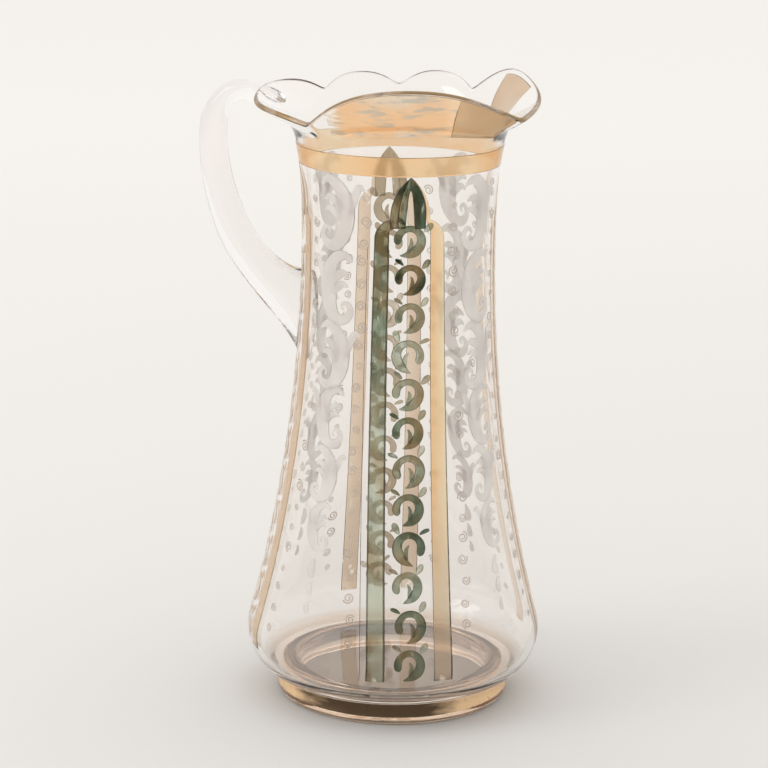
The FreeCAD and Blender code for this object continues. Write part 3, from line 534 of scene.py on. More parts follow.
def piece_from(name, points, material, replaced=(), across=None, tone=None):
    """A mesh piece from patches of points (patch, row, column, axis) that close across their columns.
    Rows close too unless they end in a point. Across and tone are stored for the finish."""
    patches, rows, columns, _ = points.shape
    ends_meet = np.allclose(points[:, 0].std(axis=1), 0.0, atol=1e-9)
    row, column = np.meshgrid(np.arange(rows - ends_meet), np.arange(columns), indexing="ij")
    after_row, after_column = (row + 1) % rows, (column + 1) % columns
    corners = [row * columns + column, row * columns + after_column,
               after_row * columns + after_column, after_row * columns + column]
    quads = np.stack(corners, -1).reshape(1, -1, 4) + (np.arange(patches) * rows * columns)[:, None, None]
    flat = points.reshape(-1, 3)
    inward = signed_volumes(flat, quads) < 0
    quads[inward] = quads[inward][..., ::-1]
    quads = quads.reshape(-1, 4)
    mesh = bpy.data.meshes.new(name)
    mesh.vertices.add(len(flat))
    mesh.vertices.foreach_set("co", flat.ravel())
    mesh.loops.add(quads.size)
    mesh.loops.foreach_set("vertex_index", quads.ravel())
    mesh.polygons.add(len(quads))
    mesh.polygons.foreach_set("loop_start", np.arange(len(quads)) * 4)
    for label, values in (("across", across), ("tone", tone)):
        if values is not None:
            store = mesh.attributes.new(label, "FLOAT", "POINT")
            spread = np.broadcast_to(values, points.shape[:3])
            store.data.foreach_set("value", spread.ravel().astype(np.float32))
    mesh.update()
    shell = bmesh.new()
    shell.from_mesh(mesh)
    bmesh.ops.remove_doubles(shell, verts=shell.verts, dist=WELD)
    shell.to_mesh(mesh)
    shell.free()
    mesh.polygons.foreach_set("use_smooth", np.ones(len(mesh.polygons), bool))
    if mesh.validate():
        raise RuntimeError(name + " has broken faces")
    mesh.materials.append(material)
    piece = bpy.data.objects.new(name, mesh)
    bpy.context.scene.collection.objects.link(piece)
    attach(piece, "root")
    if replaced:
        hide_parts(*replaced)
    return piece


def node_slot(node):
    """Material slot of a node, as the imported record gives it."""
    return next(part["material_slot"] for part in frame["record"]["subparts"] if part["node"] == node)


class Signal:
    """An output socket of a node tree. Sums, differences and products add Math nodes."""

    def __init__(self, tree, socket):
        self.tree = tree
        self.socket = socket

    @classmethod
    def add(cls, tree, kind, settings=(), inputs=(), output=0):
        """Add a node. Its settings are set first, a ramp's stops among them, then its sockets get
        values or links."""
        node = tree.nodes.new(kind)
        for label, value in dict(settings).items():
            if label == "stops":
                for number, (place, colour) in enumerate(value):
                    spare = number >= len(node.color_ramp.elements)
                    stop = node.color_ramp.elements.new(place) if spare else node.color_ramp.elements[number]
                    stop.position = place
                    stop.color = colour
            else:
                setattr(node, label, value)
        for label, value in dict(inputs).items():
            if isinstance(value, Signal):
                tree.links.new(value.socket, node.inputs[label])
            else:
                node.inputs[label].default_value = value
        return cls(tree, node.outputs[output])

    def math(self, operation, first, second):
        """A Math node on two values."""
        return Signal.add(self.tree, "ShaderNodeMath", {"operation": operation}, {0: first, 1: second})

    def __add__(self, other):
        return self.math("ADD", self, other)

    def __radd__(self, other):
        return self.math("ADD", other, self)

    def __sub__(self, other):
        return self.math("SUBTRACT", self, other)

    def __rsub__(self, other):
        return self.math("SUBTRACT", other, self)

    def __mul__(self, other):
        return self.math("MULTIPLY", self, other)

    def __rmul__(self, other):
        return self.math("MULTIPLY", other, self)

    def __abs__(self):
        return self.math("ABSOLUTE", self, 0.0)

    def step(self, low, high):
        """Smooth step from 0 at the low value to 1 at the high one."""
        return Signal.add(self.tree, "ShaderNodeMapRange", {"interpolation_type": "SMOOTHSTEP"},
                          {"Value": self, "From Min": low, "From Max": high})

    def mix(self, first, second):
        """Colour between two colours, by this value."""
        colours_in = {0: self, 6: first, 7: second}
        return Signal.add(self.tree, "ShaderNodeMix", {"data_type": "RGBA"}, colours_in, 2)

    def along(self, way):
        """How far this vector reaches along a direction."""
        settings = {"operation": "DOT_PRODUCT"}
        return Signal.add(self.tree, "ShaderNodeVectorMath", settings, {0: self, 1: way}, 1)


def new_finish(name):
    """An empty material and its node tree."""
    material = bpy.data.materials.new(name)
    material.use_nodes = True
    material.node_tree.nodes.clear()
    return material, material.node_tree


def close_finish(material, inputs):
    """End a material with a Principled shader of these sockets."""
    tree = material.node_tree
    shader = Signal.add(tree, "ShaderNodeBsdfPrincipled", (), inputs)
    output = tree.nodes.new("ShaderNodeOutputMaterial")
    tree.links.new(shader.socket, output.inputs["Surface"])
    return material


def own_point(tree):
    """The point in the object's own coordinates."""
    return Signal.add(tree, "ShaderNodeTexCoord", output=3)


def noise(tree, scale, detail=2.0, stretch=(1.0, 1.0, 1.0)):
    """Cloudy noise on the object's own coordinates."""
    point = Signal.add(tree, "ShaderNodeMapping", (), {"Vector": own_point(tree), "Scale": stretch})
    return Signal.add(tree, "ShaderNodeTexNoise", (), {"Vector": point, "Scale": scale, "Detail": detail})


def stored(tree, label):
    """A value stored on the mesh."""
    return Signal.add(tree, "ShaderNodeAttribute", {"attribute_name": label}, output=2)


def solid(colour):
    """A colour with full opacity."""
    return (*colour, 1.0)


def stage_ways():
    """Directions to the right of the stage and away from its camera, level with the floor."""
    azimuth = bpy.context.scene.jug_stage.azimuth
    return (math.cos(azimuth), math.sin(azimuth), 0.0), (-math.sin(azimuth), math.cos(azimuth), 0.0)


def clear_glass(name, low_tint):
    """Fire-polished glass with the faint ripple of hand work, tinted where it is thick at the floor; on the
    body that warm tint is partly the glass's own and partly painted shade of the recess under the jug.
    """
    material, tree = new_finish(name)
    ripple = noise(tree, 22.0, 1.0, (1.0, 1.0, 0.5))
    bump = Signal.add(tree, "ShaderNodeBump", (), {"Strength": 0.02, "Distance": 0.002, "Height": ripple})
    inner_floor = FOOT_TOP + sizes().floor_thickness
    # Below the floor's top the low tint is mixed in; on the body it is partly painted shade of the recess
    # under the jug
    low = 1.0 - own_point(tree).along(UPWARD).step(*(inner_floor + fade for fade in TINT_FADE))
    return close_finish(material, {
        "Base Color": low.mix(solid(colours().glass), solid(low_tint)), "Roughness": 0.0, "IOR": 1.5,
        "Transmission Weight": 1.0, "Normal": bump})


def gilding(name, wear, shade="fresh"):
    """Fired gold: amber against the light, deeper towards its left edge, rubbed through where it is
    worn. Thin gold is paler and pinker, tan gold has browned, and fresh gold greys as its tone nears 1:
    painted shade where the darker floor shows through a strap's lower end."""
    material, tree = new_finish(name)
    tint = colours()
    cloud = noise(tree, 42.0, 2.0, (1.0, 1.0, 0.4))
    specks = noise(tree, 700.0, 2.0)
    rubbed = noise(tree, 130.0, 4.0, (1.0, 1.0, 0.5))
    depth = (cloud * 0.9 + (1.0 - stored(tree, "across")) * 0.45 - 0.2).step(0.15, 0.75)
    pale, deep = {"fresh": (tint.gold, tint.amber), "thin": (tint.thin_gold, tint.thin_amber),
                  "tan": (tint.thin_amber, tint.tan_gold)}[shade]
    colour = depth.mix(solid(pale), solid(deep))
    if shade == "fresh":
        # Painted shade: fresh gold greys towards beige down a strap's lower end, where the darker floor
        # shows through
        colour = stored(tree, "tone").step(0.5, 1.0).mix(colour, solid(tint.beige))
    worn = (rubbed * 0.75 + specks * 0.25).step(0.70 - wear * 0.35, 0.78 - wear * 0.35)
    return close_finish(material, {
        "Base Color": colour, "Metallic": 0.12, "Roughness": 0.12 + specks * 0.1, "IOR": 1.25,
        "Transmission Weight": 0.95, "Alpha": 1.0 - worn * 0.85})


def rim_gilding(name):
    """Gold wiped round the rim: orange with paler clouds and ash streaks along it, thinning out in
    streaks towards its start, where its tone falls to 0."""
    material, tree = new_finish(name)
    tint = colours()
    cloud = noise(tree, 40.0, 2.0)
    streak = noise(tree, 70.0, 4.0, (1.0, 1.0, 5.0))
    colour = cloud.step(0.40, 0.62).mix(solid(tint.rim_gold), solid(tint.thin_gold))
    colour = (streak.step(0.52, 0.64) * 0.7).mix(colour, solid(tint.ash))
    left = stored(tree, "tone") * 2.6 + (streak - 0.5) * 2.2
    return close_finish(material, {
        "Base Color": colour, "Metallic": 0.1, "Roughness": 0.15, "IOR": 1.2, "Transmission Weight": 0.95,
        "Alpha": left.step(0.10, 0.55) * 0.92})


def edge_gilding(name):
    """Gold on the rim's edge: brown and metallic, rubbed paler in patches."""
    material, tree = new_finish(name)
    rubbed = noise(tree, 60.0, 3.0)
    colour = rubbed.step(0.42, 0.62).mix(solid(colours().edge_gold), solid(colours().thin_amber))
    return close_finish(material, {
        "Base Color": colour, "Metallic": 0.35, "Roughness": 0.3, "IOR": 1.2, "Transmission Weight": 0.7,
        "Alpha": 0.9 - rubbed.step(0.50, 0.70) * 0.55})


def shaded_foot_gilding(name):
    """Gold on the foot, with painted shade in bronze at the front and back and painted glints in amber
    towards the sides.
    """
    material, tree = new_finish(name)
    streak = noise(tree, 60.0, 4.0, (1.0, 1.0, 4.0))
    specks = noise(tree, 600.0, 2.0)
    # Painted shade and glints: bronze at the foot's front and back as the camera sees it, painted amber
    # glints towards its sides
    aside = own_point(tree).along(stage_ways()[0])
    reach = abs(aside + 0.15 * FOOT_RADIUS) + (streak - 0.5) * (0.7 * FOOT_RADIUS)
    painted_glint = reach.step(0.40 * FOOT_RADIUS, 0.75 * FOOT_RADIUS)
    return close_finish(material, {
        "Base Color": painted_glint.mix(solid(colours().foot_shade_bronze), solid(colours().amber)), "Metallic": 0.5,
        "Roughness": 0.25 + specks * 0.2, "IOR": 1.3, "Transmission Weight": 0.35,
        "Alpha": 1.0 - specks.step(0.66, 0.72) * 0.5})


def green_enamel(name, worn=False):
    """Fired green enamel that lets light through: thick and deep to thin and pale by its tone, with
    brown clouds, streaks along its length and a dark outline. Worn enamel has browned."""
    material, tree = new_finish(name)
    tint = colours()
    cloud = noise(tree, 70.0, 3.0, (1.0, 1.0, 0.6))
    warm = noise(tree, 55.0, 2.0, (1.3, 1.3, 0.8))
    streak = noise(tree, 380.0, 3.0, (1.0, 1.0, 0.3))
    thinness = stored(tree, "tone") + (cloud - 0.5) * 1.1 + (streak - 0.5) * 0.5
    stops = (tint.olive, tint.brown, tint.beige) if worn else (tint.deep_green, tint.green, tint.sage)
    colour = Signal.add(tree, "ShaderNodeValToRGB", {"stops": tuple(
        zip((0.0, 0.4, 1.0), (solid(stop) for stop in stops)))}, {"Fac": thinness})
    colour = (warm.step(0.44, 0.60) * 0.65).mix(colour, solid(tint.brown if worn else tint.olive))
    edge = abs(stored(tree, "across") * 2.0 - 1.0).step(0.74, 0.94) * (0.35 if worn else 0.8)
    return close_finish(material, {
        "Base Color": edge.mix(colour, solid(tint.outline)), "Roughness": 0.1, "IOR": 1.15,
        "Transmission Weight": 0.88, "Alpha": 1.0 - streak.step(0.64, 0.74) * 0.5})


def raised_enamel(name, colour):
    """Raised enamel of a pale colour, matte and a little see-through, with lighter clouds."""
    material, tree = new_finish(name)
    grain = noise(tree, 700.0, 2.0)
    cloud = noise(tree, 110.0, 2.0)
    bump = Signal.add(tree, "ShaderNodeBump", (), {"Strength": 0.15, "Distance": 0.0002, "Height": grain})
    pale = tuple(min(1.0, 1.12 * part) for part in colour)
    return close_finish(material, {
        "Base Color": cloud.step(0.3, 0.7).mix(solid(colour), solid(pale)), "Roughness": 0.55,
        "Transmission Weight": 0.65, "IOR": 1.2, "Alpha": 0.8, "Normal": bump})


def drawn_line(name):
    """Dark fired outline, broken here and there."""
    material, tree = new_finish(name)
    broken = noise(tree, 240.0, 2.0)
    return close_finish(material, {
        "Base Color": solid(colours().outline), "Roughness": 0.35,
        "Alpha": 0.85 - broken.step(0.5, 0.7) * 0.6})


def strips(left, right, relief, roundness):
    """Closed strips between two edge lines (patch, row, 2): the section runs over the crown from left
    to right and back flat underneath. Gives across, level, lift and the share across."""
    turn = TURN * np.arange(SECTION) / SECTION
    share = (1 - np.cos(turn)) / 2
    crown = np.maximum(np.sin(turn), 0.0) ** roundness
    spots = left[..., None, :] * (1 - share)[:, None] + right[..., None, :] * share[:, None]
    middle = np.broadcast_to(spots.mean(axis=2, keepdims=True), spots.shape)
    spots = np.concatenate([middle[:, :1], spots, middle[:, -1:]], axis=1)
    height = np.broadcast_to(relief * crown, spots.shape[:3]).copy()
    height[:, [0, -1]] = 0.0
    return spots[..., 0], spots[..., 1], painting().lift + height, np.broadcast_to(share, height.shape)


def film_piece(name, turn, edges, relief, roundness, material, replaced=(), tone=None, raised=0.0):
    """A piece of painted strips on the vessel, in a panel's or gap's direction."""
    across, level, lift, share = strips(*edges, relief, roundness)
    piece_from(name, on_vessel(turn, across, level, raised + lift), material, replaced, share, tone)


def brush(points, rows):
    """Edges of a brush stroke: a smooth line through points (across, level, half width), with the
    half width to both sides and a rounded start and end."""
    table = np.array(points, float)
    knots = np.concatenate([[0.0], np.cumsum(np.linalg.norm(np.diff(table[:, :2], axis=0), axis=1))])
    share = (1 - np.cos(np.linspace(0.0, math.pi, rows))) / 2
    line = cubic_through(knots, table, share * knots[-1])
    way = unit(np.gradient(line[:, :2], axis=0))
    side = np.stack([-way[:, 1], way[:, 0]], 1)
    from_end = np.minimum(share, 1 - share) * knots[-1]
    half = np.maximum(line[:, 2], BRUSH_THIN * knots[-1])
    rounded = np.minimum(from_end / half, 1.0)
    half = half * np.sqrt(np.maximum(1 - (1 - rounded) ** 2, BRUSH_END))
    return line[:, :2] + side * half[:, None], line[:, :2] - side * half[:, None]


def stroke_edges(strokes, rows):
    """Left and right edges of several brush strokes."""
    pairs = [brush(stroke, rows) for stroke in strokes]
    return [np.stack(side) for side in zip(*pairs)]


def placed(edges, places, scale, turns, mirror):
    """Copies of stroke edges (stroke, row, 2): mirrored, scaled, turned and moved to their places."""
    flip = np.stack([mirror, np.ones_like(mirror)], -1)[:, None, None, :]
    shape = edges[None] * flip * scale[:, None, None, None]
    cosine, sine = np.cos(turns)[:, None, None], np.sin(turns)[:, None, None]
    spun = np.stack([shape[..., 0] * cosine - shape[..., 1] * sine,
                     shape[..., 0] * sine + shape[..., 1] * cosine], -1)
    return (spun + places[:, None, None, :]).reshape(-1, edges.shape[1], 2)


def side_arc(start, stop, radius, rows=STRAP_ROWS):
    """Arc from one point to another with a given radius, bulging to the left of its way."""
    start, stop = np.array(start), np.array(stop)
    chord = stop - start
    depth = math.sqrt(max(radius ** 2 - chord @ chord / 4, 0.0))
    centre = (start + stop) / 2 - unit(np.array([-chord[1], chord[0]])) * depth
    first = math.atan2(*(start - centre)[::-1])
    last = math.atan2(*(stop - centre)[::-1])
    last -= TURN * round((last - first) / TURN)
    return arc(centre, radius, first, last, rows)


def straight(start, stop, rows=STRAP_ROWS):
    """Even points from one point to another."""
    share = np.linspace(0.0, 1.0, rows)[:, None]
    return np.array(start) * (1 - share) + np.array(stop) * share


def joined(*stretches):
    """One line from stretches that each start where the last one ended."""
    return np.concatenate([stretches[0]] + [stretch[1:] for stretch in stretches[1:]])


def panel_points():
    """Points of a panel's right half: tip and cusp of its arch, the foot of its shoulder, the knee
    inside that, and the outer and inner corner of its strap's end."""
    paint = painting()
    cusp = BAND_BOTTOM - paint.arch_rise
    shoulder = cusp - paint.shoulder_drop
    return ((0.0, BAND_BOTTOM), (paint.arch_half, cusp), (paint.shoulder_half, shoulder),
            (paint.shoulder_half - paint.strap_width, shoulder + paint.arch_hem),
            (paint.strap_foot_half, STRAP_END), (paint.strap_foot_half - paint.strap_foot_width, STRAP_END))


def shoulder_level():
    """Level of the foot of a panel's shoulders."""
    return panel_points()[2][1]


def right_strap_edges():
    """Inner and outer edge of a panel's right strap, from the arch's tip over the shoulder to its end."""
    paint = painting()
    tip, cusp, shoulder, knee, outer_end, inner_end = panel_points()
    inner_cusp = (cusp[0] - paint.arch_edge, cusp[1])
    outer = joined(side_arc(tip, cusp, paint.arch_curve), side_arc(cusp, shoulder, paint.shoulder_curve),
                   straight(shoulder, outer_end))
    inner = joined(side_arc(tip, inner_cusp, INNER_CURVE * paint.arch_curve), straight(inner_cusp, knee),
                   straight(knee, inner_end))
    return inner[None], outer[None]


def left_strap_and_arch():
    """Edges of a panel's left strap with its shoulder, and of the three stripes of its arch."""
    paint = painting()
    tip, cusp, shoulder, knee, outer_end, inner_end = panel_points()
    flip = np.array([-1.0, 1.0])
    hem = cusp[1] - paint.arch_hem
    outer = joined(side_arc(cusp, shoulder, paint.shoulder_curve), straight(shoulder, outer_end)) * flip
    inner = joined(straight((cusp[0] - paint.arch_edge, hem), knee), straight(knee, inner_end)) * flip
    level = hem + (BAND_BOTTOM - hem) * np.linspace(0.0, 1.0, len(outer))
    side = side_arc(tip, cusp, paint.arch_curve, ARCH_ROWS)[::-1]
    reach = np.interp(level, side[:, 1], side[:, 0])
    edging = paint.arch_edge * np.clip((BAND_BOTTOM - level) / paint.arch_rise, 0, 1)
    opening = np.clip(1 - (level - hem) / (paint.arch_hem + paint.lancet_rise), 0, 1)
    lancet = paint.lancet_half * np.sqrt(opening)
    split = (reach + lancet) / 2
    lefts = [np.stack([across, level], 1) for across in (-reach, -split, lancet)]
    rights = [np.stack([across, level], 1) for across in (-split, -lancet, np.maximum(reach - edging, 0.0))]
    return (outer[None], inner[None]), (np.stack(lefts), np.stack(rights))


def panel_lines():
    """Outlines drawn along the front panel, as points and half widths: beside the green strap, on its
    inner edge and on the outer edge of the gilt strap."""
    _, _, shoulder, knee, outer_end, inner_end = panel_points()
    top = shoulder[1] - LINE_DROP
    outer = ((shoulder[0], top), outer_end)
    inner = ((knee[0], top), inner_end)
    share = np.linspace(0.0, 1.0, LINE_POINTS)[:, None]
    # Side, edge, shift outwards, and half widths in millimetres at its top and its end
    plan = ((-1.0, outer, LINE_BESIDE, 0.10, 0.14), (-1.0, inner, 0.0, 0.16, 0.16),
            (1.0, outer, 0.0, 0.10, 0.34))
    lines = []
    for side, (start, stop), shift, thin, thick in plan:
        spots = straight(start, stop, LINE_POINTS)
        half = (thin + (thick - thin) * share ** 2) * MM
        lines.append(np.concatenate([side * (spots[:, :1] + shift), spots[:, 1:], half], 1))
    return lines


def scroll_strokes():
    """Strokes of one scroll of radius 1: a comma from its blunt end over the top and round into
    a pointed tail, a tongue that curls up from the tail, and two leaf buds."""
    turn = np.radians([215, 190, 160, 125, 90, 55, 20, -15, -45, -75, -95, -108])
    reach = np.array([0.80, 0.80, 0.79, 0.78, 0.78, 0.775, 0.77, 0.77, 0.80, 0.90, 1.05, 1.20])
    half = np.array([0.22, 0.27, 0.25, 0.22, 0.22, 0.25, 0.29, 0.33, 0.34, 0.28, 0.14, 0.03])
    comma = np.stack([reach * np.cos(turn), reach * np.sin(turn), half], 1)
    tongue = ((0.0, 0.17, 0.05), (0.14, -0.10, 0.12), (0.16, -0.42, 0.15), (0.08, -0.82, 0.12))
    left_bud = ((-0.60, 0.88, 0.05), (-0.92, 1.10, 0.14), (-1.22, 1.22, 0.09))
    right_bud = ((0.72, 0.78, 0.06), (0.98, 1.14, 0.22), (1.16, 1.46, 0.13))
    return stroke_edges((comma, tongue, left_bud, right_bud), SCROLL_ROWS)


def leaf_column(edges, rows, mirror):
    """Copies of stroke edges at levels below the neck band, as a table of levels and sizes gives them."""
    depth, scale = np.array(rows).T
    places = np.stack([0 * depth, BAND_BOTTOM - depth * MM], 1)
    return [placed(side, places, scale * MM, 0 * depth, mirror) for side in edges]


def flat_rows(radius, shares, level):
    """Points of a flat face at shares of its radius."""
    return np.stack([radius * np.array(shares), np.full(len(shares), level)], 1)


def capped(tube):
    """A tube of rows closed at both ends by a row that lies in one point."""
    first, last = (np.broadcast_to(tube[row].mean(axis=0), tube[:1].shape) for row in (0, -1))
    return np.concatenate([first, tube, last])


def foot_profile():
    """Outer side of the foot from its rest face over the bead and up the hollow to the seat. The
    hollow is tangent to the bead and upright at the seat."""
    size = sizes()
    seat = np.array([FOOT_RADIUS - size.foot_spread, FOOT_TOP])
    bead = np.array([FOOT_RADIUS - size.foot_bead, size.foot_bead])
    across, rise = seat - bead
    hollow_radius = (across ** 2 + rise ** 2 - size.foot_bead ** 2) / (2 * (size.foot_bead - across))
    hollow = seat + np.array([hollow_radius, 0.0])
    lean = math.atan2(hollow[1] - bead[1], hollow[0] - bead[0])
    return np.concatenate([
        arc(bead, size.foot_bead, -math.pi / 2, lean, BEAD_ROWS),
        arc(hollow, hollow_radius, math.pi + lean, math.pi, HOLLOW_ROWS)[1:]])


def coat(profile):
    """A thin closed film over a turned profile: out along its outer side and back along its inner."""
    paint = painting()
    way = unit(np.gradient(profile, axis=0))
    side = np.stack([way[:, 1], -way[:, 0]], 1)
    return np.concatenate([profile + side * (paint.lift + paint.film), (profile + side * paint.lift)[::-1]])


class JUG_OT_blow_body(bpy.types.Operator):
    """Blow the vessel with its crimped rim"""
    bl_idname = "jug.blow_body"
    bl_label = "Blow body"

    def execute(self, context):
        size = sizes()
        outer = vessel_profile(0.0)
        inner = vessel_profile(size.wall)
        floor = FOOT_TOP + size.floor_thickness
        belly, belly_radius, _, _, _ = vessel_arcs(size.wall)
        corner_level = floor + size.floor_fillet
        corner_across = belly[0] + math.sqrt(
            (belly_radius - size.floor_fillet) ** 2 - (belly[1] - corner_level) ** 2)
        lean = math.atan2(corner_level - belly[1], corner_across - belly[0])
        corner = arc((corner_across, corner_level), size.floor_fillet, -math.pi / 2, lean, CORNER_ROWS)
        above = inner[:, 1] > corner[-1, 1] + CORNER_GAP
        underside = flat_rows(outer[0, 0], UNDERSIDE_SHARES, outer[0, 1])
        bed = flat_rows(corner_across, BED_SHARES, floor)
        rows = np.concatenate([
            turned(np.concatenate([underside, outer[:-1]]), BODY_COLUMNS),
            rim_surface(np.linspace(0.0, 1.0, RIM_ROWS), BODY_COLUMNS),
            turned(np.concatenate([inner[above][-2::-1], corner[::-1], bed]), BODY_COLUMNS)])
        # The body's warm low tint is partly painted shade of the recess under the jug
        glass = clear_glass("body_glass", colours().warm_glass_and_shade)
        piece_from("clear_body", rows[None], glass, ("glass_body",))
        return {"FINISHED"}


class JUG_OT_cast_foot(bpy.types.Operator):
    """Cast the foot ring under the vessel"""
    bl_idname = "jug.cast_foot"
    bl_label = "Cast foot"

    def execute(self, context):
        size = sizes()
        profile = foot_profile()
        bore = FOOT_RADIUS - size.foot_spread - size.foot_width
        sunk = FOOT_TOP + size.foot_sink
        top = np.array([[profile[-1, 0], sunk], [bore, sunk]])
        level = np.linspace(FOOT_TOP - BORE_EASE, BORE_EASE, BORE_ROWS)
        wall = np.stack([np.full(BORE_ROWS, bore), level], 1)
        rest = np.stack([np.linspace(bore, profile[0, 0], BORE_ROWS)[:-1], np.zeros(BORE_ROWS - 1)], 1)
        ring = turned(np.concatenate([profile, top, wall, rest]), FOOT_COLUMNS)
        glass = clear_glass("foot_glass", colours().foot_glass)
        piece_from("clear_foot", ring[None], glass, ("foot_ring",))
        return {"FINISHED"}


class JUG_OT_draw_handle(bpy.types.Operator):
    """Draw the loop handle and press it on"""
    bl_idname = "jug.draw_handle"
    bl_label = "Draw handle"

    def execute(self, context):
        size = sizes()
        edge = crimped_edge(np.array([HANDLE_WAY]))
        root, low, high, _ = rim_middle(edge)
        part = UPPER_SEAT_ALONG
        upper = (root * (1 - part) ** 3 + 3 * low * part * (1 - part) ** 2
                 + 3 * high * part ** 2 * (1 - part) + edge * part ** 3)[0]
        way = ((low - root) * (1 - part) ** 2 + 2 * (high - low) * part * (1 - part)
               + (edge - high) * part ** 2)[0]
        lower = COLLAR_TOP - size.handle_drop
        _, _, flare, flare_radius, _ = vessel_arcs(0.0)
        seat = (vessel_radius(np.array([lower]))[0] - size.wall / 2, lower)
        seat_tilt = math.degrees(math.atan2(flare[1] - lower, flare_radius)) - 90.0
        stations = [(*upper, *UPPER_SEAT_SHARE, math.degrees(math.atan2(way[1], way[0])))]
        for reach, rise, thickness, width, tilt in HANDLE_STATIONS:
            stations.append((NECK_RADIUS + reach * size.handle_reach,
                             lower + rise * (size.handle_drop + size.handle_crown), thickness, width, tilt))
        stations.append((*seat, *LOWER_SEAT_SHARE, seat_tilt))
        count = len(stations)
        rows = cubic_through(np.arange(count), stations, np.linspace(0, count - 1, HANDLE_ROWS))
        reach, rise, thickness, width, tilt = rows.T[:, :, None]
        turn = TURN * np.arange(HANDLE_COLUMNS) / HANDLE_COLUMNS
        out = thickness * size.handle_thickness / 2 * np.cos(turn)
        aside = width * size.handle_width / 2 * np.sin(turn)
        lean = np.radians(tilt)
        tube = capped(np.stack([-reach - out * np.cos(lean), aside, rise + out * np.sin(lean)], -1))
        glass = clear_glass("handle_glass", colours().warm_glass_and_shade)
        piece_from("clear_handle", tube[None], glass, ("handle",))
        return {"FINISHED"}


class JUG_OT_gild_bands(bpy.types.Operator):
    """Gild the neck band, the foot and the crimped rim"""
    bl_idname = "jug.gild_bands"
    bl_label = "Gild bands"

    def execute(self, context):
        paint = painting()
        level = np.linspace(BAND_BOTTOM, BAND_HIGH.z, FILM_ROWS)
        band = coat(np.stack([vessel_radius(level), level], 1))
        piece_from("neck_gilding", turned(band, BODY_COLUMNS)[None], gilding("neck_gold", 0.05),
                   ("neck_gilt_band",), NECK_ACROSS)
        foot = foot_profile()
        foot = foot[(foot[:, 1] >= GILT_LOW.z) & (foot[:, 1] <= FOOT_TOP - GILT_MARGIN)]
        # The foot's gold carries painted shade and painted glints besides its rubbed specks
        piece_from("foot_gold", turned(coat(foot), BODY_COLUMNS)[None], shaded_foot_gilding("worn_and_shaded_foot_gold"),
                   ("foot_gilding",))
        finishes = {"wiped": rim_gilding("wiped_rim_gold"), "edge": edge_gilding("rim_edge_gold"),
                    "tan": gilding("lip_tan_gold", 0.12, "tan")}
        columns = RIM_FILM_COLUMNS
        for name, finish, low, high, start, stop in RIM_GILDING:
            skin = rim_surface(np.linspace(low, high, FILM_ROWS), columns)
            normal = unit(np.cross(np.gradient(skin, axis=1), np.gradient(skin, axis=0)))
            top = skin + normal * (paint.lift + THIN_FILM * paint.film)
            bottom = skin + normal * paint.lift
            chosen = np.arange(int(start / 360 * columns), int(stop / 360 * columns) + 1) % columns
            film = capped(np.concatenate([top, bottom[::-1]])[:, chosen].transpose(1, 0, 2))
            tone = np.sin(np.linspace(0.0, math.pi / 2, len(film)))[None, :, None]
            piece_from(name, film[None], finishes[finish], (), RIM_ACROSS, tone)
        return {"FINISHED"}


class JUG_OT_fire_straps(bpy.types.Operator):
    """Fire the arch and the two straps of each panel, and draw the front panel's outlines"""
    bl_idname = "jug.fire_straps"
    bl_label = "Fire straps"

    def execute(self, context):
        paint = painting()
        fresh = green_enamel("strap_green"), gilding("front_gold", 0.10)
        aged = green_enamel("worn_strap_green", True), gilding("thin_gold", 0.28, "thin")
        left_strap, arch = left_strap_and_arch()
        fade = np.interp(np.linspace(0.0, 1.0, 2 * STRAP_ROWS + 1), STRAP_PLACES, STRAP_TONES)
        # Tone of the gilt strap's painted shade: nothing above its shoulder, rising to 1 down to its end
        strap_low_shade = np.interp(np.arange(3 * STRAP_ROWS), [2 * STRAP_ROWS, 3 * STRAP_ROWS - 1], [0.0, 1.0])
        strips_of_panel = (("arch", arch, np.array(ARCH_TONES)[:, None, None]),
                           ("left_strap", left_strap, fade[None, :, None]),
                           ("right_strap", right_strap_edges(), strap_low_shade[None, :, None]))
        for number, panel in enumerate(PANELS):
            turn = paint.panel_turn + TURN * number / len(PANELS)
            enamel, gold = fresh if panel == PANELS[0] else aged
            for label, edges, tone in strips_of_panel:
                node = panel + "_" + label
                slot = node_slot(node)
                finish = enamel if slot == "green_enamel" else gold
                film_piece(node + "_film", turn, edges, paint.film, STRAP_ROUNDNESS, finish, (node,),
                           tone)
        lines = stroke_edges(panel_lines(), STRAP_ROWS)
        film_piece("front_panel_lines", paint.panel_turn, lines, THIN_FILM * paint.film, STRAP_ROUNDNESS,
                   drawn_line("drawn_outline"), raised=LINE_RAISE * paint.film)
        return {"FINISHED"}


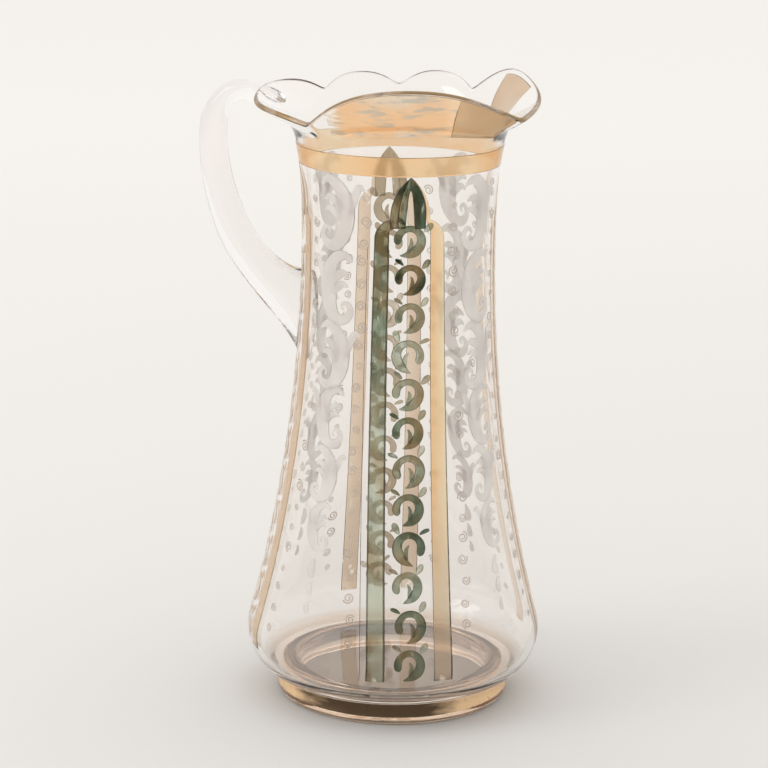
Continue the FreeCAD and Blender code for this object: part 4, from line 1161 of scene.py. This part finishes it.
class JUG_OT_paint_scrolls(bpy.types.Operator):
    """Paint the column of scrolls in each panel"""
    bl_idname = "jug.paint_scrolls"
    bl_label = "Paint scrolls"

    def execute(self, context):
        paint = painting()
        green = green_enamel("scroll_green")
        worn_green = green_enamel("worn_scroll_green", True)
        thin = gilding("scroll_gold", 0.5, "thin")
        strokes = scroll_strokes()
        count = paint.scroll_count
        level = np.linspace(shoulder_level(), FOOT_TOP + sizes().belly_rise + SCROLL_END, count)
        mirror = np.where(np.arange(count) % MIRROR_EACH == MIRROR_FIRST, -1.0, 1.0)
        hand = np.random.default_rng(SCROLL_SEED)
        for number, panel in enumerate(PANELS):
            turn = paint.panel_turn + TURN * number / len(PANELS)
            places = np.stack([hand.normal(0.0, SCROLL_SHIFT, count), level], 1)
            scale = paint.scroll_radius * hand.uniform(*SCROLL_SIZES, count)
            spin = hand.normal(0.0, SCROLL_SPIN, count)
            edges = [placed(side, places, scale, spin, mirror) for side in strokes]
            tone = np.resize(SCROLL_TONES, count) + hand.uniform(-TONE_SPREAD, TONE_SPREAD, count)
            tone = (tone[:, None] + np.array(STROKE_TONES)).reshape(-1, 1, 1)
            node = panel + "_scrolls"
            slot = node_slot(node)
            gilt = slot == "gilding"
            finish = thin if gilt else green if panel == PANELS[0] else worn_green
            relief = THIN_FILM * paint.film if gilt else paint.relief
            film_piece(node + "_enamel", turn, edges, relief, SCROLL_ROUNDNESS, finish, (node,), tone)
        return {"FINISHED"}


class JUG_OT_paint_leaves(bpy.types.Operator):
    """Paint the white leaf scrolls, drops and fine curls between the panels"""
    bl_idname = "jug.paint_leaves"
    bl_label = "Paint leaves"

    def execute(self, context):
        paint = painting()
        white = raised_enamel("leaf_white", colours().white)
        fine = raised_enamel("curl_brown", colours().curl)
        curl_turn = np.linspace(0.0, CURL_TURN, CURL_POINTS)
        curl_reach = np.linspace(*CURL_REACH, CURL_POINTS)
        spiral = np.stack([curl_reach * np.cos(curl_turn), curl_reach * np.sin(curl_turn),
                           np.full(CURL_POINTS, CURL_HALF)], 1)
        curl = stroke_edges([spiral], LEAF_ROWS)
        mirror = np.where(np.arange(len(LEAF_PLACES)) % 2, -1.0, 1.0)
        leaves = leaf_column(stroke_edges(LEAF_STROKES, LEAF_ROWS), LEAF_PLACES, mirror)
        drops = leaf_column(stroke_edges([LEAF_DROP], LEAF_ROWS), DROP_PLACES, np.ones(len(DROP_PLACES)))
        column = [np.concatenate(both) for both in zip(leaves, drops)]
        level = np.repeat(np.linspace(BAND_BOTTOM - CURL_ENDS[0], FOOT_TOP + CURL_ENDS[1], CURL_COUNT), 2)
        side = np.where(np.arange(len(level)) % 2, 1.0, -1.0)
        radius = vessel_radius(level)
        strap = np.interp(level, [STRAP_END, shoulder_level()], [paint.strap_foot_half, paint.shoulder_half])
        hand = np.random.default_rng(CURL_SEED)
        for number, gap in enumerate(GAPS):
            turn = paint.panel_turn + TURN * (number + 0.5) / len(GAPS)
            film_piece(gap + "_leaf_enamel", turn, column, paint.relief, LEAF_ROUNDNESS, white,
                       (gap + "_leaves",))
            clear = hand.uniform(*CURL_CLEAR, len(level)) + CURL_SPREAD * (BAND_BOTTOM - level)
            reach = radius * np.sin(TURN / (2 * len(GAPS)) - np.arcsin(strap / radius) - clear / radius)
            rise = side * CURL_STAGGER + hand.uniform(-CURL_RISE, CURL_RISE, len(level))
            places = np.stack([side * reach, level + rise], 1)
            scale = hand.uniform(*CURL_SIZES, len(level)) * MM
            spin = hand.uniform(0.0, TURN, len(level))
            edges = [placed(edge, places, scale, spin, side) for edge in curl]
            film_piece(gap + "_fine_curls", turn, edges, CURL_RELIEF * paint.relief, LEAF_ROUNDNESS, fine)
        return {"FINISHED"}


def lay_floor(scene, stage):
    """Lay the studio's paper, with painted shade darker towards the camera and paler away from it."""
    half, level = stage.floor_half, -stage.floor_sink
    corners = [(-half, -half, level), (half, -half, level), (half, half, level), (-half, half, level)]
    mesh = bpy.data.meshes.new("studio_floor")
    mesh.from_pydata(corners, [], [(0, 1, 2, 3)])
    material, tree = new_finish("studio_paper")
    # Painted shade: the paper darkens towards the camera
    near = tuple(NEAR_PAINTED_SHADE * part for part in colours().floor)
    far = own_point(tree).along(stage_ways()[1]).step(*FLOOR_FADE)
    mesh.materials.append(close_finish(material, {
        "Base Color": far.mix(solid(near), solid(colours().floor)), "Roughness": 0.9}))
    floor = bpy.data.objects.new("studio_floor", mesh)
    scene.collection.objects.link(floor)


def hang_lights(scene, stage):
    """Light the studio from all round, a little more from ahead and above, and with one soft box."""
    world = bpy.data.worlds.new("studio_light")
    scene.world = world
    world.use_nodes = True
    tree = world.node_tree
    tree.nodes.clear()
    way = Signal.add(tree, "ShaderNodeTexCoord", output=0)
    ahead = way.along(stage_ways()[1]).step(*AHEAD_FADE)
    strength = LIGHT_ROUND + ahead * LIGHT_AHEAD + way.along(UPWARD).step(*ABOVE_FADE) * LIGHT_ABOVE
    light = Signal.add(tree, "ShaderNodeBackground", (), {
        "Color": solid(colours().light), "Strength": strength})
    tree.links.new(light.socket, tree.nodes.new("ShaderNodeOutputWorld").inputs["Surface"])
    lamp = bpy.data.lights.new("soft_box", "AREA")
    lamp.shape = "RECTANGLE"
    lamp.size, lamp.size_y = LAMP_SIZE
    lamp.energy = stage.lamp_power
    box = bpy.data.objects.new("soft_box", lamp)
    box.location = LAMP_PLACE
    box.rotation_euler = box.location.to_track_quat("Z", "Y").to_euler()
    scene.collection.objects.link(box)


def place_camera(scene, stage):
    """Stand the camera level with its azimuth, then pitch, pan and roll it."""
    right, level = (np.array(way) for way in stage_ways())
    ahead = level * math.cos(stage.pitch) - np.array([0.0, 0.0, math.sin(stage.pitch)])
    up = np.cross(right, ahead)
    view = ahead * math.cos(stage.pan) - right * math.sin(stage.pan)
    side = right * math.cos(stage.pan) + ahead * math.sin(stage.pan)
    lens = bpy.data.cameras.new("studio_camera")
    lens.lens = stage.lens
    lens.sensor_width = stage.sensor
    camera = bpy.data.objects.new("studio_camera", lens)
    turn = np.eye(4)
    turn[:3, 0] = side * math.cos(stage.roll) + up * math.sin(stage.roll)
    turn[:3, 1] = up * math.cos(stage.roll) - side * math.sin(stage.roll)
    turn[:3, 2] = -view
    turn[:3, 3] = np.array([0.0, 0.0, stage.height]) - level * stage.distance
    camera.matrix_world = Matrix(turn.tolist())
    scene.collection.objects.link(camera)
    scene.camera = camera


class JUG_OT_set_stage(bpy.types.Operator):
    """Set the floor, the light and the camera"""
    bl_idname = "jug.set_stage"
    bl_label = "Set stage"

    def execute(self, context):
        scene = context.scene
        stage = scene.jug_stage
        lay_floor(scene, stage)
        hang_lights(scene, stage)
        place_camera(scene, stage)
        scene.view_settings.view_transform = "Standard"
        # Light runs far inside curled glass before it leaves
        for label in ("max_bounces", "glossy_bounces", "transmission_bounces", "transparent_max_bounces"):
            setattr(scene.cycles, label, BOUNCES)
        return {"FINISHED"}


OPERATORS = (JUG_OT_blow_body, JUG_OT_cast_foot, JUG_OT_draw_handle, JUG_OT_gild_bands, JUG_OT_fire_straps,
             JUG_OT_paint_scrolls, JUG_OT_paint_leaves, JUG_OT_set_stage)
GROUPS = {"jug_sizes": JugSizes, "jug_painting": JugPainting, "jug_colours": JugColours,
          "jug_stage": JugStage}


class JUG_PT_panel(bpy.types.Panel):
    """Lists the jug's pieces and sizes"""
    bl_idname = "JUG_PT_panel"
    bl_label = "Glass jug"
    bl_space_type = "VIEW_3D"
    bl_region_type = "UI"
    bl_category = "Jug"

    def draw(self, context):
        for operator in OPERATORS:
            self.layout.operator(operator.bl_idname)
        for label, group in GROUPS.items():
            box = self.layout.box()
            for field in group.__annotations__:
                box.prop(getattr(context.scene, label), field)


def register():
    """Register the property groups, operators and panel."""
    for label, group in GROUPS.items():
        bpy.utils.register_class(group)
        setattr(bpy.types.Scene, label, PointerProperty(type=group))
    for kind in (*OPERATORS, JUG_PT_panel):
        bpy.utils.register_class(kind)


def unregister():
    """Undo register."""
    for kind in (JUG_PT_panel, *reversed(OPERATORS)):
        bpy.utils.unregister_class(kind)
    for label, group in GROUPS.items():
        delattr(bpy.types.Scene, label)
        bpy.utils.unregister_class(group)


def main():
    """Build the jug and its stage."""
    register()
    bpy.ops.jug.blow_body()
    bpy.ops.jug.cast_foot()
    bpy.ops.jug.draw_handle()
    bpy.ops.jug.gild_bands()
    bpy.ops.jug.fire_straps()
    bpy.ops.jug.paint_scrolls()
    bpy.ops.jug.paint_leaves()
    bpy.ops.jug.set_stage()


if __name__ == "__main__":
    main()
